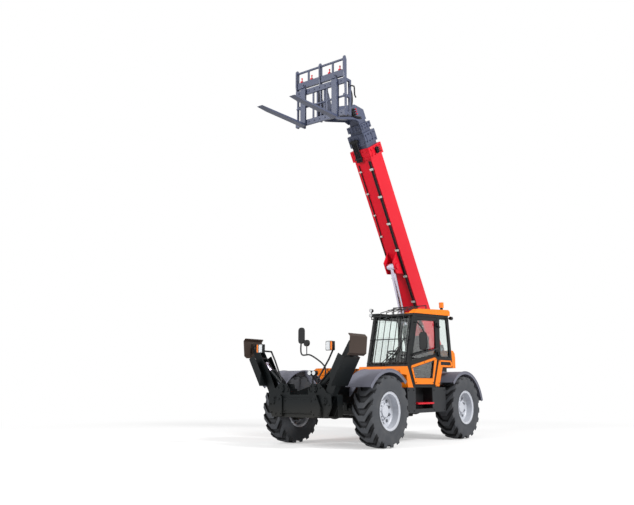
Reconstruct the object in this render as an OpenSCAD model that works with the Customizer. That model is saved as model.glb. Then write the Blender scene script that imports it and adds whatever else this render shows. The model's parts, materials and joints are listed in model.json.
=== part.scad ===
// Telehandler: four-wheel-steer chassis, side cab, four-stage boom, fork carriage and front stabilisers.
// Frame: +X forward, +Y to the operator's left, +Z up; the origin is on the ground under the middle of the box.

/* [Wheels] */
// Distance between the axles
wheelbase = 2860; // [2700:10:3000]
// Front axle, ahead of the origin
front_axle_x = 1300; // [1250:10:1350]
// Distance between the wheels' middle planes
track = 2000; // [1940:10:2060]
// Outer diameter of a tyre over its lugs
tyre_d = 1240; // [1200:10:1260]
// Width of a tyre
tyre_w = 400; // [380:10:420]
// Height of a lug above the tyre's casing
lug_h = 38; // [24:2:44]
// Lugs on each half of a tyre
lug_count = 18; // [14:1:20]
// Diameter of the rim where the tyre seats
rim_seat_d = 610; // [590:5:630]
// Kingpin, inboard of the wheel's middle plane
kingpin_inset = 100; // [90:5:110]

/* [Frame] */
// Outer width across the frame's side plates
frame_w = 680; // [640:10:720]
// Thickness of the side plates
frame_t = 40; // [30:5:50]
// Height of the frame's top edge
frame_top_z = 1020; // [1000:5:1040]
// Height of the belly
belly_z = 450; // [420:10:480]
// Rear end of the frame
frame_rear_x = -2720; // [-2740:5:-2700]
// Front end of the frame
frame_front_x = 2120; // [2110:5:2130]

/* [Cab] */
// Right face of the cab
cab_right_y = 200; // [190:5:220]
// Left face of the cab
cab_left_y = 1100; // [1080:5:1120]
// Thickness of the cab's walls
cab_wall = 45; // [40:1:50]
// Gap round the door
door_gap = 6; // [5:1:8]
// Thickness of the panes
pane_t = 8; // [6:1:10]

/* [Boom] */
// Boom pivot, behind the origin
boom_pivot_x = -2530; // [-2540:5:-2520]
// Height of the boom pivot
boom_pivot_z = 1820; // [1800:5:1840]
// Boom's middle plane, to the right of the origin
boom_y = -150; // [-160:5:-140]
// Boom's angle above level as it stands
boom_angle = 59; // [55:0.5:62]
// Width of the outer section
outer_w = 400; // [390:5:410]
// Height of the outer section
outer_h = 480; // [470:5:490]
// Wall of the outer section
outer_t = 12; // [10:1:14]
// Outer end of the outer section, from the pivot
outer_end = 4870; // [4850:10:4890]
// Width and height lost from one stage to the next
stage_step = 58; // [56:1:60]

/* [Carriage] */
// Width of the fork carriage
carriage_w = 1200; // [1100:20:1260]
// Length of the fork blades
fork_len = 1250; // [1230:5:1270]
// Width of a fork
fork_w = 120; // [100:5:140]
// Distance between the forks' middle lines
fork_pitch = 770; // [700:10:820]

/* [Stabilisers] */
// Middle plane of the stabilisers, ahead of the origin
stab_x = 2222; // [2218:1:2226]
// Arm pivot, out from the middle
stab_pivot_y = 550; // [545:1:555]
// Height of the arm pivot
stab_pivot_z = 800; // [795:1:805]
// Length of an arm from pivot to foot pin
stab_arm_len = 1056; // [1040:2:1070]
// Arm's lean from upright when folded
stab_lean = 29; // [27:0.5:31]
// Length of a foot along the machine
foot_len = 480; // [440:10:500]

/* [Hidden] */
$fn = 64;

// Colours
red = "#c4242c";
orange = "#e89a1c";
charcoal = "#33363a";
grey = "#55595d";
steel_blue = "#4a525c";
silver = "#b9bdc0";
black = "#1b1c1e";

// Clearances: round fits, and parts set side by side
fit = 0.3;
eps = 0.01;

rear_axle_x = front_axle_x - wheelbase;
tyre_r = tyre_d / 2;
axle_z = tyre_r;
frame_y = frame_w / 2;
kingpin_y = track / 2 - kingpin_inset;

// Two-point box, and outlines carried along one axis
module box(a, b) translate(a) cube(b - a);
module plate_xz(points, y0, y1) translate([0, y1, 0]) rotate([90, 0, 0]) linear_extrude(y1 - y0) polygon(points);
module plate_yz(points, x0, x1) translate([x0, 0, 0]) rotate([90, 0, 90]) linear_extrude(x1 - x0) polygon(points);
module bar_y(x, z, r, y0, y1) translate([x, y1, z]) rotate([90, 0, 0]) cylinder(r = r, h = y1 - y0);
module bar_x(y, z, r, x0, x1) translate([x0, y, z]) rotate([0, 90, 0]) cylinder(r = r, h = x1 - x0);
module rod(a, b, r) {
  v = b - a;
  translate(a) rotate([0, acos(v.z / norm(v)), atan2(v.y, v.x)]) cylinder(r = r, h = norm(v));
}
// Bent tube through points, with slightly swollen ball bends
bend_swell = 1.5;
module bent_tube(points, r) {
  for (i = [0 : len(points) - 2]) rod(points[i], points[i + 1], r);
  for (i = [1 : len(points) - 2]) translate(points[i]) sphere(r = r + bend_swell);
}
module on_side(side) mirror([0, side < 0 ? 1 : 0, 0]) children();
module both_sides() for (side = [1, -1]) on_side(side) children();

// Outline set in by d, for points that run anticlockwise
function inset(p, d) = [for (i = [0 : len(p) - 1])
  let (n = len(p), a = p[(i + n - 1) % n], b = p[i], c = p[(i + 1) % n],
       u = (b - a) / norm(b - a), w = (c - b) / norm(c - b), nu = [-u.y, u.x], nw = [-w.y, w.x])
  b + d / (1 + nu * nw) * (nu + nw)];
// Turns a plane vector by an angle
function turn(v, a) = [v.x * cos(a) - v.y * sin(a), v.x * sin(a) + v.y * cos(a)];

// Main frame
ear_gap = 245;
ear_t = 40;
pivot_pin_r = 50;
lift_base = [-1950, 1050];
lift_pin_r = 45;
axle_seat_z = 760;
deck_top_z = 900;
tower_points = [[-2780, deck_top_z], [-1680, deck_top_z], [-1680, 1060], [-1900, 1336], [-2400, 1960],
                [-2640, 1960], [-2780, 1640]];
belly_x0 = rear_axle_x + 680;
belly_x1 = front_axle_x - 600;
side_points = [[frame_rear_x, 700], [rear_axle_x - 640, 700], [rear_axle_x - 490, axle_seat_z],
               [rear_axle_x + 480, axle_seat_z], [belly_x0, belly_z], [belly_x1, belly_z],
               [front_axle_x - 440, axle_seat_z], [front_axle_x + 450, axle_seat_z], [front_axle_x + 650, 520],
               [frame_front_x, 520], [frame_front_x, 930], [front_axle_x - 300, 1180],
               [front_axle_x - 470, frame_top_z], [frame_rear_x, frame_top_z]];
tower_out_y = ear_gap + ear_t;
pin_head_t = 12;
pin_head_lip = 14;
pin_relief = 12;
hitch_x = -2790;
hitch_pin_r = 20;

module main_frame() color(charcoal) difference() {
  union() {
    both_sides() plate_xz(side_points, frame_y - frame_t, frame_y);
    box([frame_rear_x, boom_y - tower_out_y, axle_seat_z], [-1700, frame_y - eps, deck_top_z]);
    box([belly_x0, -frame_y + frame_t - eps, belly_z], [belly_x1, frame_y - frame_t + eps, belly_z + 30]);
    box([front_axle_x - 340, -frame_y + frame_t - eps, 800], [front_axle_x - 240, frame_y - frame_t + eps, 960]);
    for (x = [belly_x0 - 120, belly_x1 - 100])
      bar_y(x, 850, 60, -frame_y + frame_t - eps, frame_y - frame_t + eps);
    for (z = [705, 785]) box([-2840, -90, z], [frame_rear_x, 90, z + 35]);
    box([frame_rear_x, -frame_y + eps, 640], [frame_rear_x + 40, frame_y - eps, axle_seat_z + eps]);
  }
  translate([hitch_x, 0, 600]) cylinder(r = hitch_pin_r, h = 300);
  bar_y(lift_base.x, lift_base.y, lift_pin_r + pin_relief, -frame_y - 1, 0);
}

// Boom towers: two plates on the rear deck, and the headed pins of the boom and its lift cylinder
module boom_towers() color(charcoal) difference() {
  for (y = [boom_y - tower_out_y, boom_y + ear_gap]) plate_xz(tower_points, y, y + ear_t);
  bar_y(boom_pivot_x, boom_pivot_z, pivot_pin_r + fit, boom_y - tower_out_y - 1, boom_y + tower_out_y + 1);
  bar_y(lift_base.x, lift_base.y, lift_pin_r + fit, boom_y - tower_out_y - 1, boom_y + tower_out_y + 1);
}
module headed_pin(x, z, r) {
  bar_y(x, z, r, boom_y - tower_out_y - eps, boom_y + tower_out_y + eps);
  for (y = [boom_y - tower_out_y - pin_head_t, boom_y + tower_out_y])
    bar_y(x, z, r + pin_head_lip, y, y + pin_head_t);
}
module boom_pins() color(grey) {
  headed_pin(boom_pivot_x, boom_pivot_z, pivot_pin_r);
  headed_pin(lift_base.x, lift_base.y, lift_pin_r);
}

// Front frame: two full-width plates that hold the stabilisers between them
plate_t = 22;
front_rear_face = frame_front_x;
front_front_face = 2 * stab_x - front_rear_face;
stab_base = [360, 1000];
stab_pin_r = 30;
base_pin_r = 22;
front_half = [[0, 520], [600, 520], [690, 700], [680, 900], [600, 930], [450, 1085], [270, 1085], [215, 900],
              [0, 900]];
beam_h = 250;
corner_t = 60;

module front_frame() color(charcoal) {
  difference() {
    union() {
      for (x = [front_rear_face, front_front_face - plate_t])
        both_sides() plate_yz(front_half, x, x + plate_t);
      both_sides() {
        box([front_rear_face, 200, 520], [front_front_face, 222, 1000]);
        box([front_rear_face, 222, 520], [front_front_face, 600, 545]);
        box([stab_x - foot_len / 2, 500, 520], [front_rear_face + eps, 680, 900]);
        for (x = [front_rear_face + plate_t, front_front_face - plate_t - 26])
          bar_x(stab_pivot_y, stab_pivot_z, stab_pin_r, x, x + 26);
        bar_x(stab_pivot_y, stab_pivot_z, 58, front_front_face, front_front_face + 14);
        bar_x(stab_base.x, stab_base.y, 45, front_front_face, front_front_face + 14);
        bar_x(stab_base.x, stab_base.y, base_pin_r, front_rear_face, front_front_face);
      }
      box([front_front_face, -330, 590], [front_front_face + 30, 330, 590 + beam_h]);
      both_sides() plate_yz([[330, 540], [500, 540], [500, 700], [420, 900], [372, 900], [330, 840]],
                            front_front_face, front_front_face + corner_t);
    }
  }
}

// Axles: differential, tubes, seats under the frame and a yoke at each end
yoke_arm_t = 40;
yoke_reach = 70;
yoke_half = 140;
kingpin_r = 30;

module axle(x) {
  translate([x, 0, axle_z]) sphere(r = 165);
  bar_y(x, axle_z, 85, -kingpin_y + 110, kingpin_y - 110);
  both_sides() {
    box([x - 110, frame_y - frame_t - 20, axle_z], [x + 110, frame_y + 15, axle_seat_z]);
    box([x - 90, kingpin_y - 120, axle_z - yoke_half - yoke_arm_t],
        [x + 90, kingpin_y - 90, axle_z + yoke_half + yoke_arm_t]);
    for (z = [axle_z - yoke_half - yoke_arm_t, axle_z + yoke_half]) difference() {
      union() {
        box([x - yoke_reach, kingpin_y - 100, z], [x + yoke_reach, kingpin_y, z + yoke_arm_t]);
        translate([x, kingpin_y, z]) cylinder(r = yoke_reach, h = yoke_arm_t);
      }
      translate([x, kingpin_y, z - 1]) cylinder(r = kingpin_r + fit, h = yoke_arm_t + 2);
    }
  }
}
module front_axle() color(black) axle(front_axle_x);
module rear_axle() color(black) axle(rear_axle_x);

// Knuckle: kingpin, upright body and the spindle that the wheel turns on
spindle_r = 60;
hub_face = kingpin_y + 75;
spindle_end = track / 2 + 65;
module knuckle(x, side) color(black) on_side(side) {
  translate([x, kingpin_y, axle_z - yoke_half - yoke_arm_t])
    cylinder(r = kingpin_r, h = 2 * (yoke_half + yoke_arm_t));
  translate([x, kingpin_y, axle_z - yoke_half + 2]) cylinder(r = 66, h = 2 * yoke_half - 4);
  bar_y(x, axle_z, 105, kingpin_y, hub_face - fit);
  bar_y(x, axle_z, spindle_r, kingpin_y, spindle_end);
}

// Rim: one revolved profile with barrel, dished disc and hub cap, from the wheel's middle plane outwards
rim_r = rim_seat_d / 2;
rim_half = 185;
rim_points = let (inner = hub_face - track / 2)
  [[spindle_r + fit, inner], [125, inner], [125, 8], [rim_r - 45, 8], [rim_r - 45, -40], [rim_r - 22, -60],
   [rim_r - 15, -rim_half + 10], [rim_r + 12, -rim_half], [rim_r + 25, -rim_half], [rim_r + 25, -rim_half + 14],
   [rim_r, -rim_half + 24], [rim_r, -70], [rim_r - 30, -50], [rim_r - 30, 50], [rim_r, 70],
   [rim_r, rim_half - 24],
   [rim_r + 25, rim_half - 14], [rim_r + 25, rim_half], [rim_r + 12, rim_half], [rim_r - 15, rim_half - 10],
   [rim_r - 22, 60], [rim_r - 45, 40], [150, 28], [140, 62], [110, 70], [100, 92], [0, 92], [0, 70],
   [spindle_r + fit, 70]];
module on_wheel(x, side) translate([x, side * track / 2, axle_z]) on_side(side) rotate([-90, 0, 0]) children();
module rim(x, side) color(silver) on_wheel(x, side) rotate_extrude() polygon(rim_points);

// Tyre: one closed skin of rings from bead to bead. In each pitch two columns run on a lug and two in the
// groove; the lugs lie square across the middle, sweep back to the shoulders and stand on the lowest one's flat
tyre_half = tyre_w / 2;
lug_share = 0.21;
groove_share = 0.28;
lug_sweep = 0.85;
tread_half = 60;
lug_pitch = 360 / lug_count;
tip_r = tyre_r / cos(lug_share * lug_pitch);
tyre_columns = 4 * lug_count;
// Rings of one half: distance from the middle, radius in groove and on lug, sweep, and 1 where lugs stand
half_rings = [[rim_half - 28, rim_r + 3, rim_r + 3, lug_sweep, 0],
              [rim_half + 4, rim_r + 60, rim_r + 60, lug_sweep, 0],
              [tyre_half, tyre_r - 112, tyre_r - 112, lug_sweep, 0],
              [tyre_half - 10, tyre_r - 22 - lug_h, tyre_r - 16, lug_sweep, 1],
              [tread_half, tip_r - lug_h, tip_r, 0, 1]];
ring_n = 2 * len(half_rings);
function ring_of(i) = i < len(half_rings) ? half_rings[i] : half_rings[ring_n - 1 - i];
function column_share(c, lugged) =
  lugged == 1 ? [-lug_share, lug_share, groove_share, 1 - groove_share][c] : (2 * c - 1) / 8;
function ring_point(i, k) = let (ring = ring_of(i), c = k % 4, r = c < 2 ? ring[2] : ring[1],
    a = 90 + lug_pitch * (floor(k / 4) + column_share(c, ring[4]) - ring[3]))
  [r * cos(a), r * sin(a), i < len(half_rings) ? ring[0] : -ring[0]];
tyre_skin = [for (i = [0 : ring_n - 1], k = [0 : tyre_columns - 1]) ring_point(i, k)];
function skin_at(i, k) = (i % ring_n) * tyre_columns + k % tyre_columns;
tyre_faces = [for (i = [0 : ring_n - 1], k = [0 : tyre_columns - 1], half = [0, 1])
  half == 0 ? [skin_at(i, k), skin_at(i + 1, k), skin_at(i + 1, k + 1)]
            : [skin_at(i, k), skin_at(i + 1, k + 1), skin_at(i, k + 1)]];
module tyre(x, side) color(black) on_wheel(x, side) polyhedron(tyre_skin, tyre_faces);

// Fenders: arched sheets with a lip, each on a bracket from the frame
fender_room = 140;
fender_r = tyre_r + fender_room;
fender_z = 560;
fender_t = 14;
fender_lip = 40;
fender_in_y = 680;
fender_out_y = 1200;
fender_gap = 20;
module fender(x, a0, a1) {
  w = fender_out_y - fender_in_y;
  translate([x, fender_out_y, fender_z]) rotate([90, 0, 0]) rotate([0, 0, a0]) rotate_extrude(angle = a1 - a0)
    polygon([[fender_r - fender_lip, 0], [fender_r + fender_t, 0], [fender_r + fender_t, w], [fender_r, w],
             [fender_r, 12], [fender_r - fender_lip, 12]]);
  plate_yz([[frame_y, 860], [frame_y, 1000], [fender_in_y - 30, fender_z + fender_r + 10],
            [fender_in_y + 10, fender_z + fender_r + 10], [fender_in_y + 10, fender_z + fender_r - 60],
            [fender_in_y - 40, fender_z + fender_r - 110]], x - 15, x + 15);
}
module fenders() color(grey) both_sides() {
  fender(front_axle_x, 38, 134);
  fender(rear_axle_x, 46, 166);
}

// Engine under its cover on the right, with slots in the outer wall and a hinged lid
wheel_room = 90;
cover_x0 = rear_axle_x + tyre_r + wheel_room;
cover_x1 = front_axle_x - tyre_r - wheel_room;
cover_len = cover_x1 - cover_x0;
cover_in_y = -445;
cover_out_y = -1110;
cover_z0 = 560;
lid_z = 1250;
lid_top_z = 1390;
cover_t = 24;
lid_pin = [-430, 1380];
lid_pin_r = 8;
slot_in = 350;
lid_pin_at = [cover_x0 + 250, cover_x1 - 250];
module engine_block() color(grey) box([cover_x0 + 150, -1010, cover_z0 + cover_t], [cover_x1 - 140, -500, 1200]);
module engine_cover() color(orange) {
  difference() {
    box([cover_x0, cover_out_y, cover_z0], [cover_x1, cover_in_y, lid_z - door_gap]);
    box([cover_x0 + cover_t, cover_out_y + cover_t, cover_z0 + cover_t],
        [cover_x1 - cover_t, cover_in_y - cover_t, lid_z]);
    for (i = [0 : 6])
      box([cover_x0 + slot_in, cover_out_y - 1, 780 + 48 * i],
          [cover_x1 - slot_in, cover_out_y + cover_t + 1, 800 + 48 * i]);
  }
  box([cover_x0 + 60, cover_in_y, 700], [cover_x1 - 60, -frame_y, 760]);
  for (x = lid_pin_at) {
    box([x - 40, cover_in_y - 6, lid_z - 90], [x - 6, lid_pin.x + 12, lid_pin.y + 14]);
    bar_x(lid_pin.x, lid_pin.y, lid_pin_r, x - 10, x + 50);
  }
}
module engine_lid() color(orange) {
  difference() {
    plate_yz([[cover_out_y, lid_z], [cover_in_y - 8, lid_z], [cover_in_y - 8, lid_top_z],
              [cover_out_y + 130, lid_top_z], [cover_out_y, lid_top_z - 90]], cover_x0, cover_x1);
    plate_yz([[cover_out_y + cover_t, lid_z - 1], [cover_in_y - 8 - cover_t, lid_z - 1],
              [cover_in_y - 8 - cover_t, lid_top_z - cover_t], [cover_out_y + 140, lid_top_z - cover_t],
              [cover_out_y + cover_t, lid_top_z - 100]],
             cover_x0 + cover_t, cover_x1 - cover_t);
    for (x = lid_pin_at) box([x - 48, cover_in_y - 14, lid_z - 1], [x - 1, cover_in_y, lid_top_z + 1]);
  }
  for (x = lid_pin_at) difference() {
    union() {
      bar_x(lid_pin.x, lid_pin.y, 14, x, x + 44);
      box([x, cover_in_y - 10, lid_pin.y - 8], [x + 44, lid_pin.x, lid_pin.y + 8]);
    }
    bar_x(lid_pin.x, lid_pin.y, lid_pin_r + fit, x - 1, x + 60);
  }
}

// Step box under the cab, with a recess and a tread
step_x0 = cover_x0 + 0.36 * cover_len;
step_x1 = cover_x1 - 0.2 * cover_len;
tread_pitch = (step_x1 - step_x0 - 90) / 5;
tread_bar = 30;
step_in_y = 900;
step_z = 715;
module step_box() color(grey) difference() {
  box([cover_x0, frame_y, 560], [cover_x1, 1110, frame_top_z]);
  box([step_x0, step_in_y, 630], [step_x1, 1111, frame_top_z + 1]);
}
module step_tread() color(red) difference() {
  box([step_x0 + 20, step_in_y, step_z], [step_x1 - 20, 1150, step_z + 30]);
  for (i = [0 : 4]) let (x = step_x0 + 55 + tread_pitch * i)
    box([x, step_in_y + 60, step_z - 1], [x + tread_pitch - tread_bar, 1110, step_z + 31]);
}

// Cab: side outline from the front of the floor, up the windscreen, over the roof and down the back
cab_floor_z = frame_top_z;
cab_points = [[360, cab_floor_z], [550, 1400], [276, 2396], [-1080, 2440], [-1200, 1500], [-1200, 1400],
              [-760, 1400], [-600, cab_floor_z]];
door_points = [[300, 1062], [462, 1400], [211, 2342], [-600, 2370], [-600, 1560], [-400, 1062]];
side_window = [[120, 1450], [405, 1450], [176, 2325], [-610, 2352], [-610, 1450]];
quarter_window = [[-700, 1600], [-700, 2360], [-1010, 2365], [-1110, 1600]];
door_hinge = [-616, cab_left_y + 22];
door_hinge_z = [1640, 2200];
door_pin_r = 9;
// A band along the cab's outline from corner i to the next, between two shares of its length and two depths
function band(i, s0, s1, d0, d1) = let (a = cab_points[i], b = cab_points[i + 1], u = (b - a) / norm(b - a),
  n = [-u.y, u.x], l = norm(b - a))
  [a + u * l * s0 + n * d0, a + u * l * s0 + n * d1, a + u * l * s1 + n * d1, a + u * l * s1 + n * d0];
screen_edge = 55;
module cab_shell() color(charcoal) {
  difference() {
    plate_xz(cab_points, cab_right_y, cab_left_y);
    plate_xz(inset(cab_points, cab_wall), cab_right_y + cab_wall, cab_left_y - cab_wall);
    plate_xz(door_points, cab_left_y - cab_wall - 1, cab_left_y + 1);
    plate_xz(quarter_window, cab_left_y - cab_wall - 1, cab_left_y + 1);
    plate_xz(quarter_window, cab_right_y - 1, cab_right_y + cab_wall + 1);
    plate_xz(side_window, cab_right_y - 1, cab_right_y + cab_wall + 1);
    plate_xz(band(1, 0.05, 0.96, -1, cab_wall + 1), cab_right_y + screen_edge, cab_left_y - screen_edge);
    plate_xz(band(3, 0.05, 0.88, -1, cab_wall + 1), cab_right_y + screen_edge, cab_left_y - screen_edge);
    plate_xz(band(2, 0.06, 0.50, -1, cab_wall + 1), cab_right_y + 150, cab_left_y - 150);
  }
  for (z = door_hinge_z) {
    box([door_hinge.x - 70, cab_left_y - eps, z - 26], [door_hinge.x + 9, door_hinge.y + 9, z]);
    translate([door_hinge.x, door_hinge.y, z - 10]) cylinder(r = door_pin_r, h = 80);
  }
}
roof_crest = [[110, 2488], [-1060, 2556]];
roof_seat = 0.2;
roof_rim = 110;
roof_window_x = -900;
roof_low = 30;
function roof_under(x) = let (a = cab_points[2], b = cab_points[3])
  a.y + roof_seat + (x - a.x) * (b.y - a.y) / (b.x - a.x);
function roof_top(x) = let (a = roof_crest[0], b = roof_crest[1])
  a.y + (x - a.x) * (b.y - a.y) / (b.x - a.x);
module cab_roof() color(orange) difference() {
  plate_xz([[282, roof_under(282)], [240, 2436], roof_crest[0], roof_crest[1], [-1120, 2525],
            [-1120, roof_under(-1120)]], cab_right_y - 20, cab_left_y + 20);
  box([roof_window_x, cab_right_y + roof_rim, 2300], [400, cab_left_y - roof_rim, 2700]);
  plate_xz([[400, roof_under(400) + roof_low], [400, 2700], [roof_window_x, 2700],
            [roof_window_x, roof_under(roof_window_x) + roof_low]], cab_right_y - 21, cab_right_y + roof_rim + 1);
}
pane_in = 18;
module side_pane(points, y) plate_xz(inset(points, fit), y, y + pane_t);
module cab_panes() color([0.5, 0.6, 0.65, 0.4]) {
  side_pane(quarter_window, cab_left_y - pane_in - pane_t);
  side_pane(quarter_window, cab_right_y + pane_in);
  side_pane(side_window, cab_right_y + pane_in);
  for (b = [band(1, 0.0504, 0.9596, pane_in, pane_in + pane_t),
            band(3, 0.0504, 0.8796, pane_in, pane_in + pane_t)])
    plate_xz(b, cab_right_y + screen_edge + fit, cab_left_y - screen_edge - fit);
  plate_xz(band(2, 0.0604, 0.4996, pane_in, pane_in + pane_t), cab_right_y + 150 + fit, cab_left_y - 150 - fit);
}

// Guard: upright bars before the windscreen between two rails, on feet at the cab's pillars
guard_out = 40;
guard_r = 9;
guard_bars_n = 7;
guard_bend = 1.03;
roof_guard = [-330, 2590];
slat_w = 34;
slat_t = 10;
function strip(a, b, t) = let (u = (b - a) / norm(b - a), n = [-u.y, u.x] * t / 2)
  [a - n, b - n, b + n, a + n];
function screen_point(s, out) = let (p = band(1, s, 1, -out, 0)[0]) p;
module guard_bars() color(black) {
  for (s = [0.06, 0.5, 0.95]) let (p = screen_point(s, guard_out)) {
    bar_y(p.x, p.y, guard_r, cab_right_y + 25, cab_left_y - 25);
    for (y = [cab_right_y + 28, cab_left_y - 28]) let (q = screen_point(s, 0))
      rod([p.x, y, p.y], [q.x, y, q.y], guard_r);
  }
  for (i = [0 : guard_bars_n - 1])
    let (y = cab_right_y + 60 + i * (cab_left_y - cab_right_y - 120) / (guard_bars_n - 1),
      over = i > 0 && i < guard_bars_n - 1,
      a = screen_point(0.03, guard_out), b = screen_point(over ? guard_bend : 0.98, guard_out)) {
    rod([a.x, y, a.y], [b.x, y, b.y], guard_r - 1);
    if (over) plate_xz(strip([b.x, b.y - 4], roof_guard, slat_t), y - slat_w / 2, y + slat_w / 2);
  }
  for (share = [0.5, 1]) let (b = screen_point(guard_bend, guard_out), q = b + share * (roof_guard - b))
    bar_y(q.x, q.y, guard_r, cab_right_y + roof_rim + 40, cab_left_y - roof_rim - 40);
  for (y = [cab_right_y + roof_rim - 30, cab_left_y - roof_rim + 30]) {
    let (rim_z = y < cab_left_y / 2 ? roof_under(roof_guard.x - guard_r) + roof_low
                                    : roof_top(roof_guard.x - guard_r - 2))
      rod([roof_guard.x, y, rim_z + fit], [roof_guard.x, y, roof_guard.y + guard_r], guard_r + 2);
    let (inner = y < cab_left_y / 2 ? y : y - 90) bar_y(roof_guard.x, roof_guard.y, guard_r, inner, inner + 90);
  }
}

// Inside the cab
chair = [-420, 650];
module operator_chair() color(black) {
  box([chair.x - 140, chair.y - 180, cab_floor_z + cab_wall], [chair.x + 190, chair.y + 180, 1360]);
  box([chair.x - 260, chair.y - 250, 1360], [chair.x + 270, chair.y + 250, 1480]);
  plate_xz([[chair.x - 260, 1480], [chair.x - 120, 1480], [chair.x - 230, 2080], [chair.x - 350, 2080]],
           chair.y - 240, chair.y + 240);
}
column_foot = [245, 650, cab_floor_z + cab_wall];
column_head = [150, 650, 1640];
module steering_column() color(black) {
  rod(column_foot + [0, 0, 12], column_head, 42);
  translate(column_foot) cylinder(r = 70, h = 40);
  v = column_head - column_foot;
  translate(column_head) rotate([0, -atan2(-v.x, v.z), 0]) {
    rotate_extrude() translate([185, 24]) circle(r = 15);
    for (a = [0, 120, 240]) rotate([0, 0, a]) translate([0, 0, 20]) rotate([0, 90, 0]) cylinder(r = 10, h = 185);
    cylinder(r = 50, h = 36);
  }
}
module console() color(grey)
  box([-520, cab_right_y + cab_wall, cab_floor_z + cab_wall], [180, cab_right_y + cab_wall + 130, 1420]);

// Orange covers round the cab
module front_cowl() color(orange)
  plate_xz([[360, cab_floor_z], [545, cab_floor_z], [590, 1245], [790, 1262], [815, 1320], [790, 1395], [550, 1400]],
           cab_right_y, cab_left_y);
rear_cover_points = [[-1200, 1400], [-1200, 1500], [-1168, 1750.67], [-1250, 1745], [-1310, 1690],
                     [-1330, 1600], [-1330, 1400]];
module rear_cover() color(orange) plate_xz(rear_cover_points, cab_right_y, cab_left_y);
module side_panel() color(orange) difference() {
  plate_xz([[-450, 1070], [-640, 1545], [-1160, 1545], [-1185, 1412], [-765, 1412], [-615, 1040], [-470, 1040]],
           cab_left_y, cab_left_y + 10);
  plate_xz([[-690, 1450], [-700, 1515], [-1100, 1515], [-1115, 1450]], cab_left_y - 1, cab_left_y + 11);
  // Room for the rear fender, which stays clear of the panel unless the axles stand closer
  bar_y(rear_axle_x, fender_z, fender_r + fender_t + fender_gap, cab_left_y - 1, cab_left_y + 11);
}

// Door: frame with an upper and a lower window, an orange panel round the lower one, and hinge barrels
door_leaf = inset(door_points, door_gap);
door_upper = [[400, 1500], [160, 2282], [-545, 2308], [-545, 1640], [-500, 1640]];
door_lower = [[300, 1190], [372, 1380], [-455, 1540], [-365, 1190]];
module door_frame() color(charcoal) {
  difference() {
    plate_xz(door_leaf, cab_left_y - cab_wall + 2, cab_left_y);
    plate_xz(door_upper, cab_left_y - cab_wall, cab_left_y + 1);
    plate_xz(door_lower, cab_left_y - cab_wall, cab_left_y + 1);
  }
  for (z = door_hinge_z) difference() {
    union() {
      translate([door_hinge.x, door_hinge.y, z + fit]) cylinder(r = 16, h = 58);
      box([door_hinge.x, cab_left_y + 6, z + fit], [-560, door_hinge.y + 8, z + 58]);
      box([-590, cab_left_y - eps, z + fit], [-560, cab_left_y + 6 + eps, z + 58]);
    }
    translate([door_hinge.x, door_hinge.y, z - 1]) cylinder(r = door_pin_r + fit, h = 80);
  }
}
module door_panel() color(orange) difference() {
  plate_xz([[292, 1080], [432, 1385], [405, 1420], [-470, 1590], [-555, 1560], [-386, 1080]],
           cab_left_y, cab_left_y + 8);
  plate_xz(door_lower, cab_left_y - 1, cab_left_y + 9);
}
module door_pane() color([0.5, 0.6, 0.65, 0.4]) {
  side_pane(door_upper, cab_left_y - pane_in - pane_t);
  side_pane(door_lower, cab_left_y - pane_in - pane_t);
}

// Lamps: head lamps on bent stalks, twin work lamps on a post, roof lamps, beacon and rear lamps
head_lamp = [2440, 775, 1700];
stalk_x = front_front_face - plate_t / 2;
work_post = [2300, 285];
beacon = [-1000, 1000];
beacon_z = 2600;
beacon_r = 30;
lens_seat = 0.1;
roof_lamp = [205, 120];
roof_lamp_z = [2405, 2500];
side_lamp = [-1060, cab_left_y + 70, 2385];
rear_lamp = [rear_axle_x - 640, 1000, 1060];
module lamp_can(p, r, l) bar_x(p.y, p.z, r, p.x, p.x + l);
module lamp_housings() color(black) {
  both_sides() {
    bent_tube([[stalk_x, 400, 1085], [stalk_x, 400, 1150], [stalk_x - 50, 600, 1490], [stalk_x - 50, 690, 1650],
               [head_lamp.x - 60, head_lamp.y, 1660], [head_lamp.x - 15, head_lamp.y, 1660]], 15);
    box(head_lamp - [20, 70, 75], head_lamp + [40, 70, 75]);
    box(rear_lamp + [-60, -60, -45], rear_lamp + [-30, 60, 45]);
  }
  bent_tube([[work_post.x, work_post.y, 1085], [work_post.x, work_post.y, 1240]], 14);
  bar_y(work_post.x, 1236, 12, work_post.y - 60, work_post.y + 60);
  for (side = [1, -1]) let (x = rear_lamp.x - 45, y = side > 0 ? frame_y : tower_out_y - boom_y)
    on_side(side) bent_tube([[x, y, 900], [x, y + 60, 900], [x, rear_lamp.y - 50, rear_lamp.z]], 14);
  for (dy = [-45, 45]) lamp_can([work_post.x - 40, work_post.y + dy, 1265], 40, 70);
  for (z = roof_lamp_z) lamp_can([roof_lamp.x, roof_lamp.y, z], 34, 50);
  translate([roof_lamp.x + 20, roof_lamp.y, roof_lamp_z[0]]) cylinder(r = 9, h = roof_lamp_z[1] - roof_lamp_z[0]);
  bar_y(roof_lamp.x + 20, 2330, 9, roof_lamp.y - 9, cab_right_y);
  translate([roof_lamp.x + 20, roof_lamp.y, 2322]) cylinder(r = 10, h = roof_lamp_z[0] - 2322);
  bar_y(side_lamp.x, side_lamp.z, 9, cab_left_y, side_lamp.y);
  lamp_can(side_lamp - [35, 0, 0], 36, 60);
  let (foot_z = roof_top(beacon.x - beacon_r) + fit)
    translate([beacon.x, beacon.y, foot_z]) cylinder(r = beacon_r, h = beacon_z - foot_z);
}
module lamp_lenses() color("#e8ecf0") {
  both_sides() box(head_lamp + [40, -62, -68], head_lamp + [52, 20, 68]);
  for (dy = [-45, 45]) lamp_can([work_post.x + 30, work_post.y + dy, 1265], 36, 8);
  for (z = roof_lamp_z) lamp_can([roof_lamp.x + 50, roof_lamp.y, z], 30, 8);
  lamp_can(side_lamp - [43, 0, 0], 32, 8);
}
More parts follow.
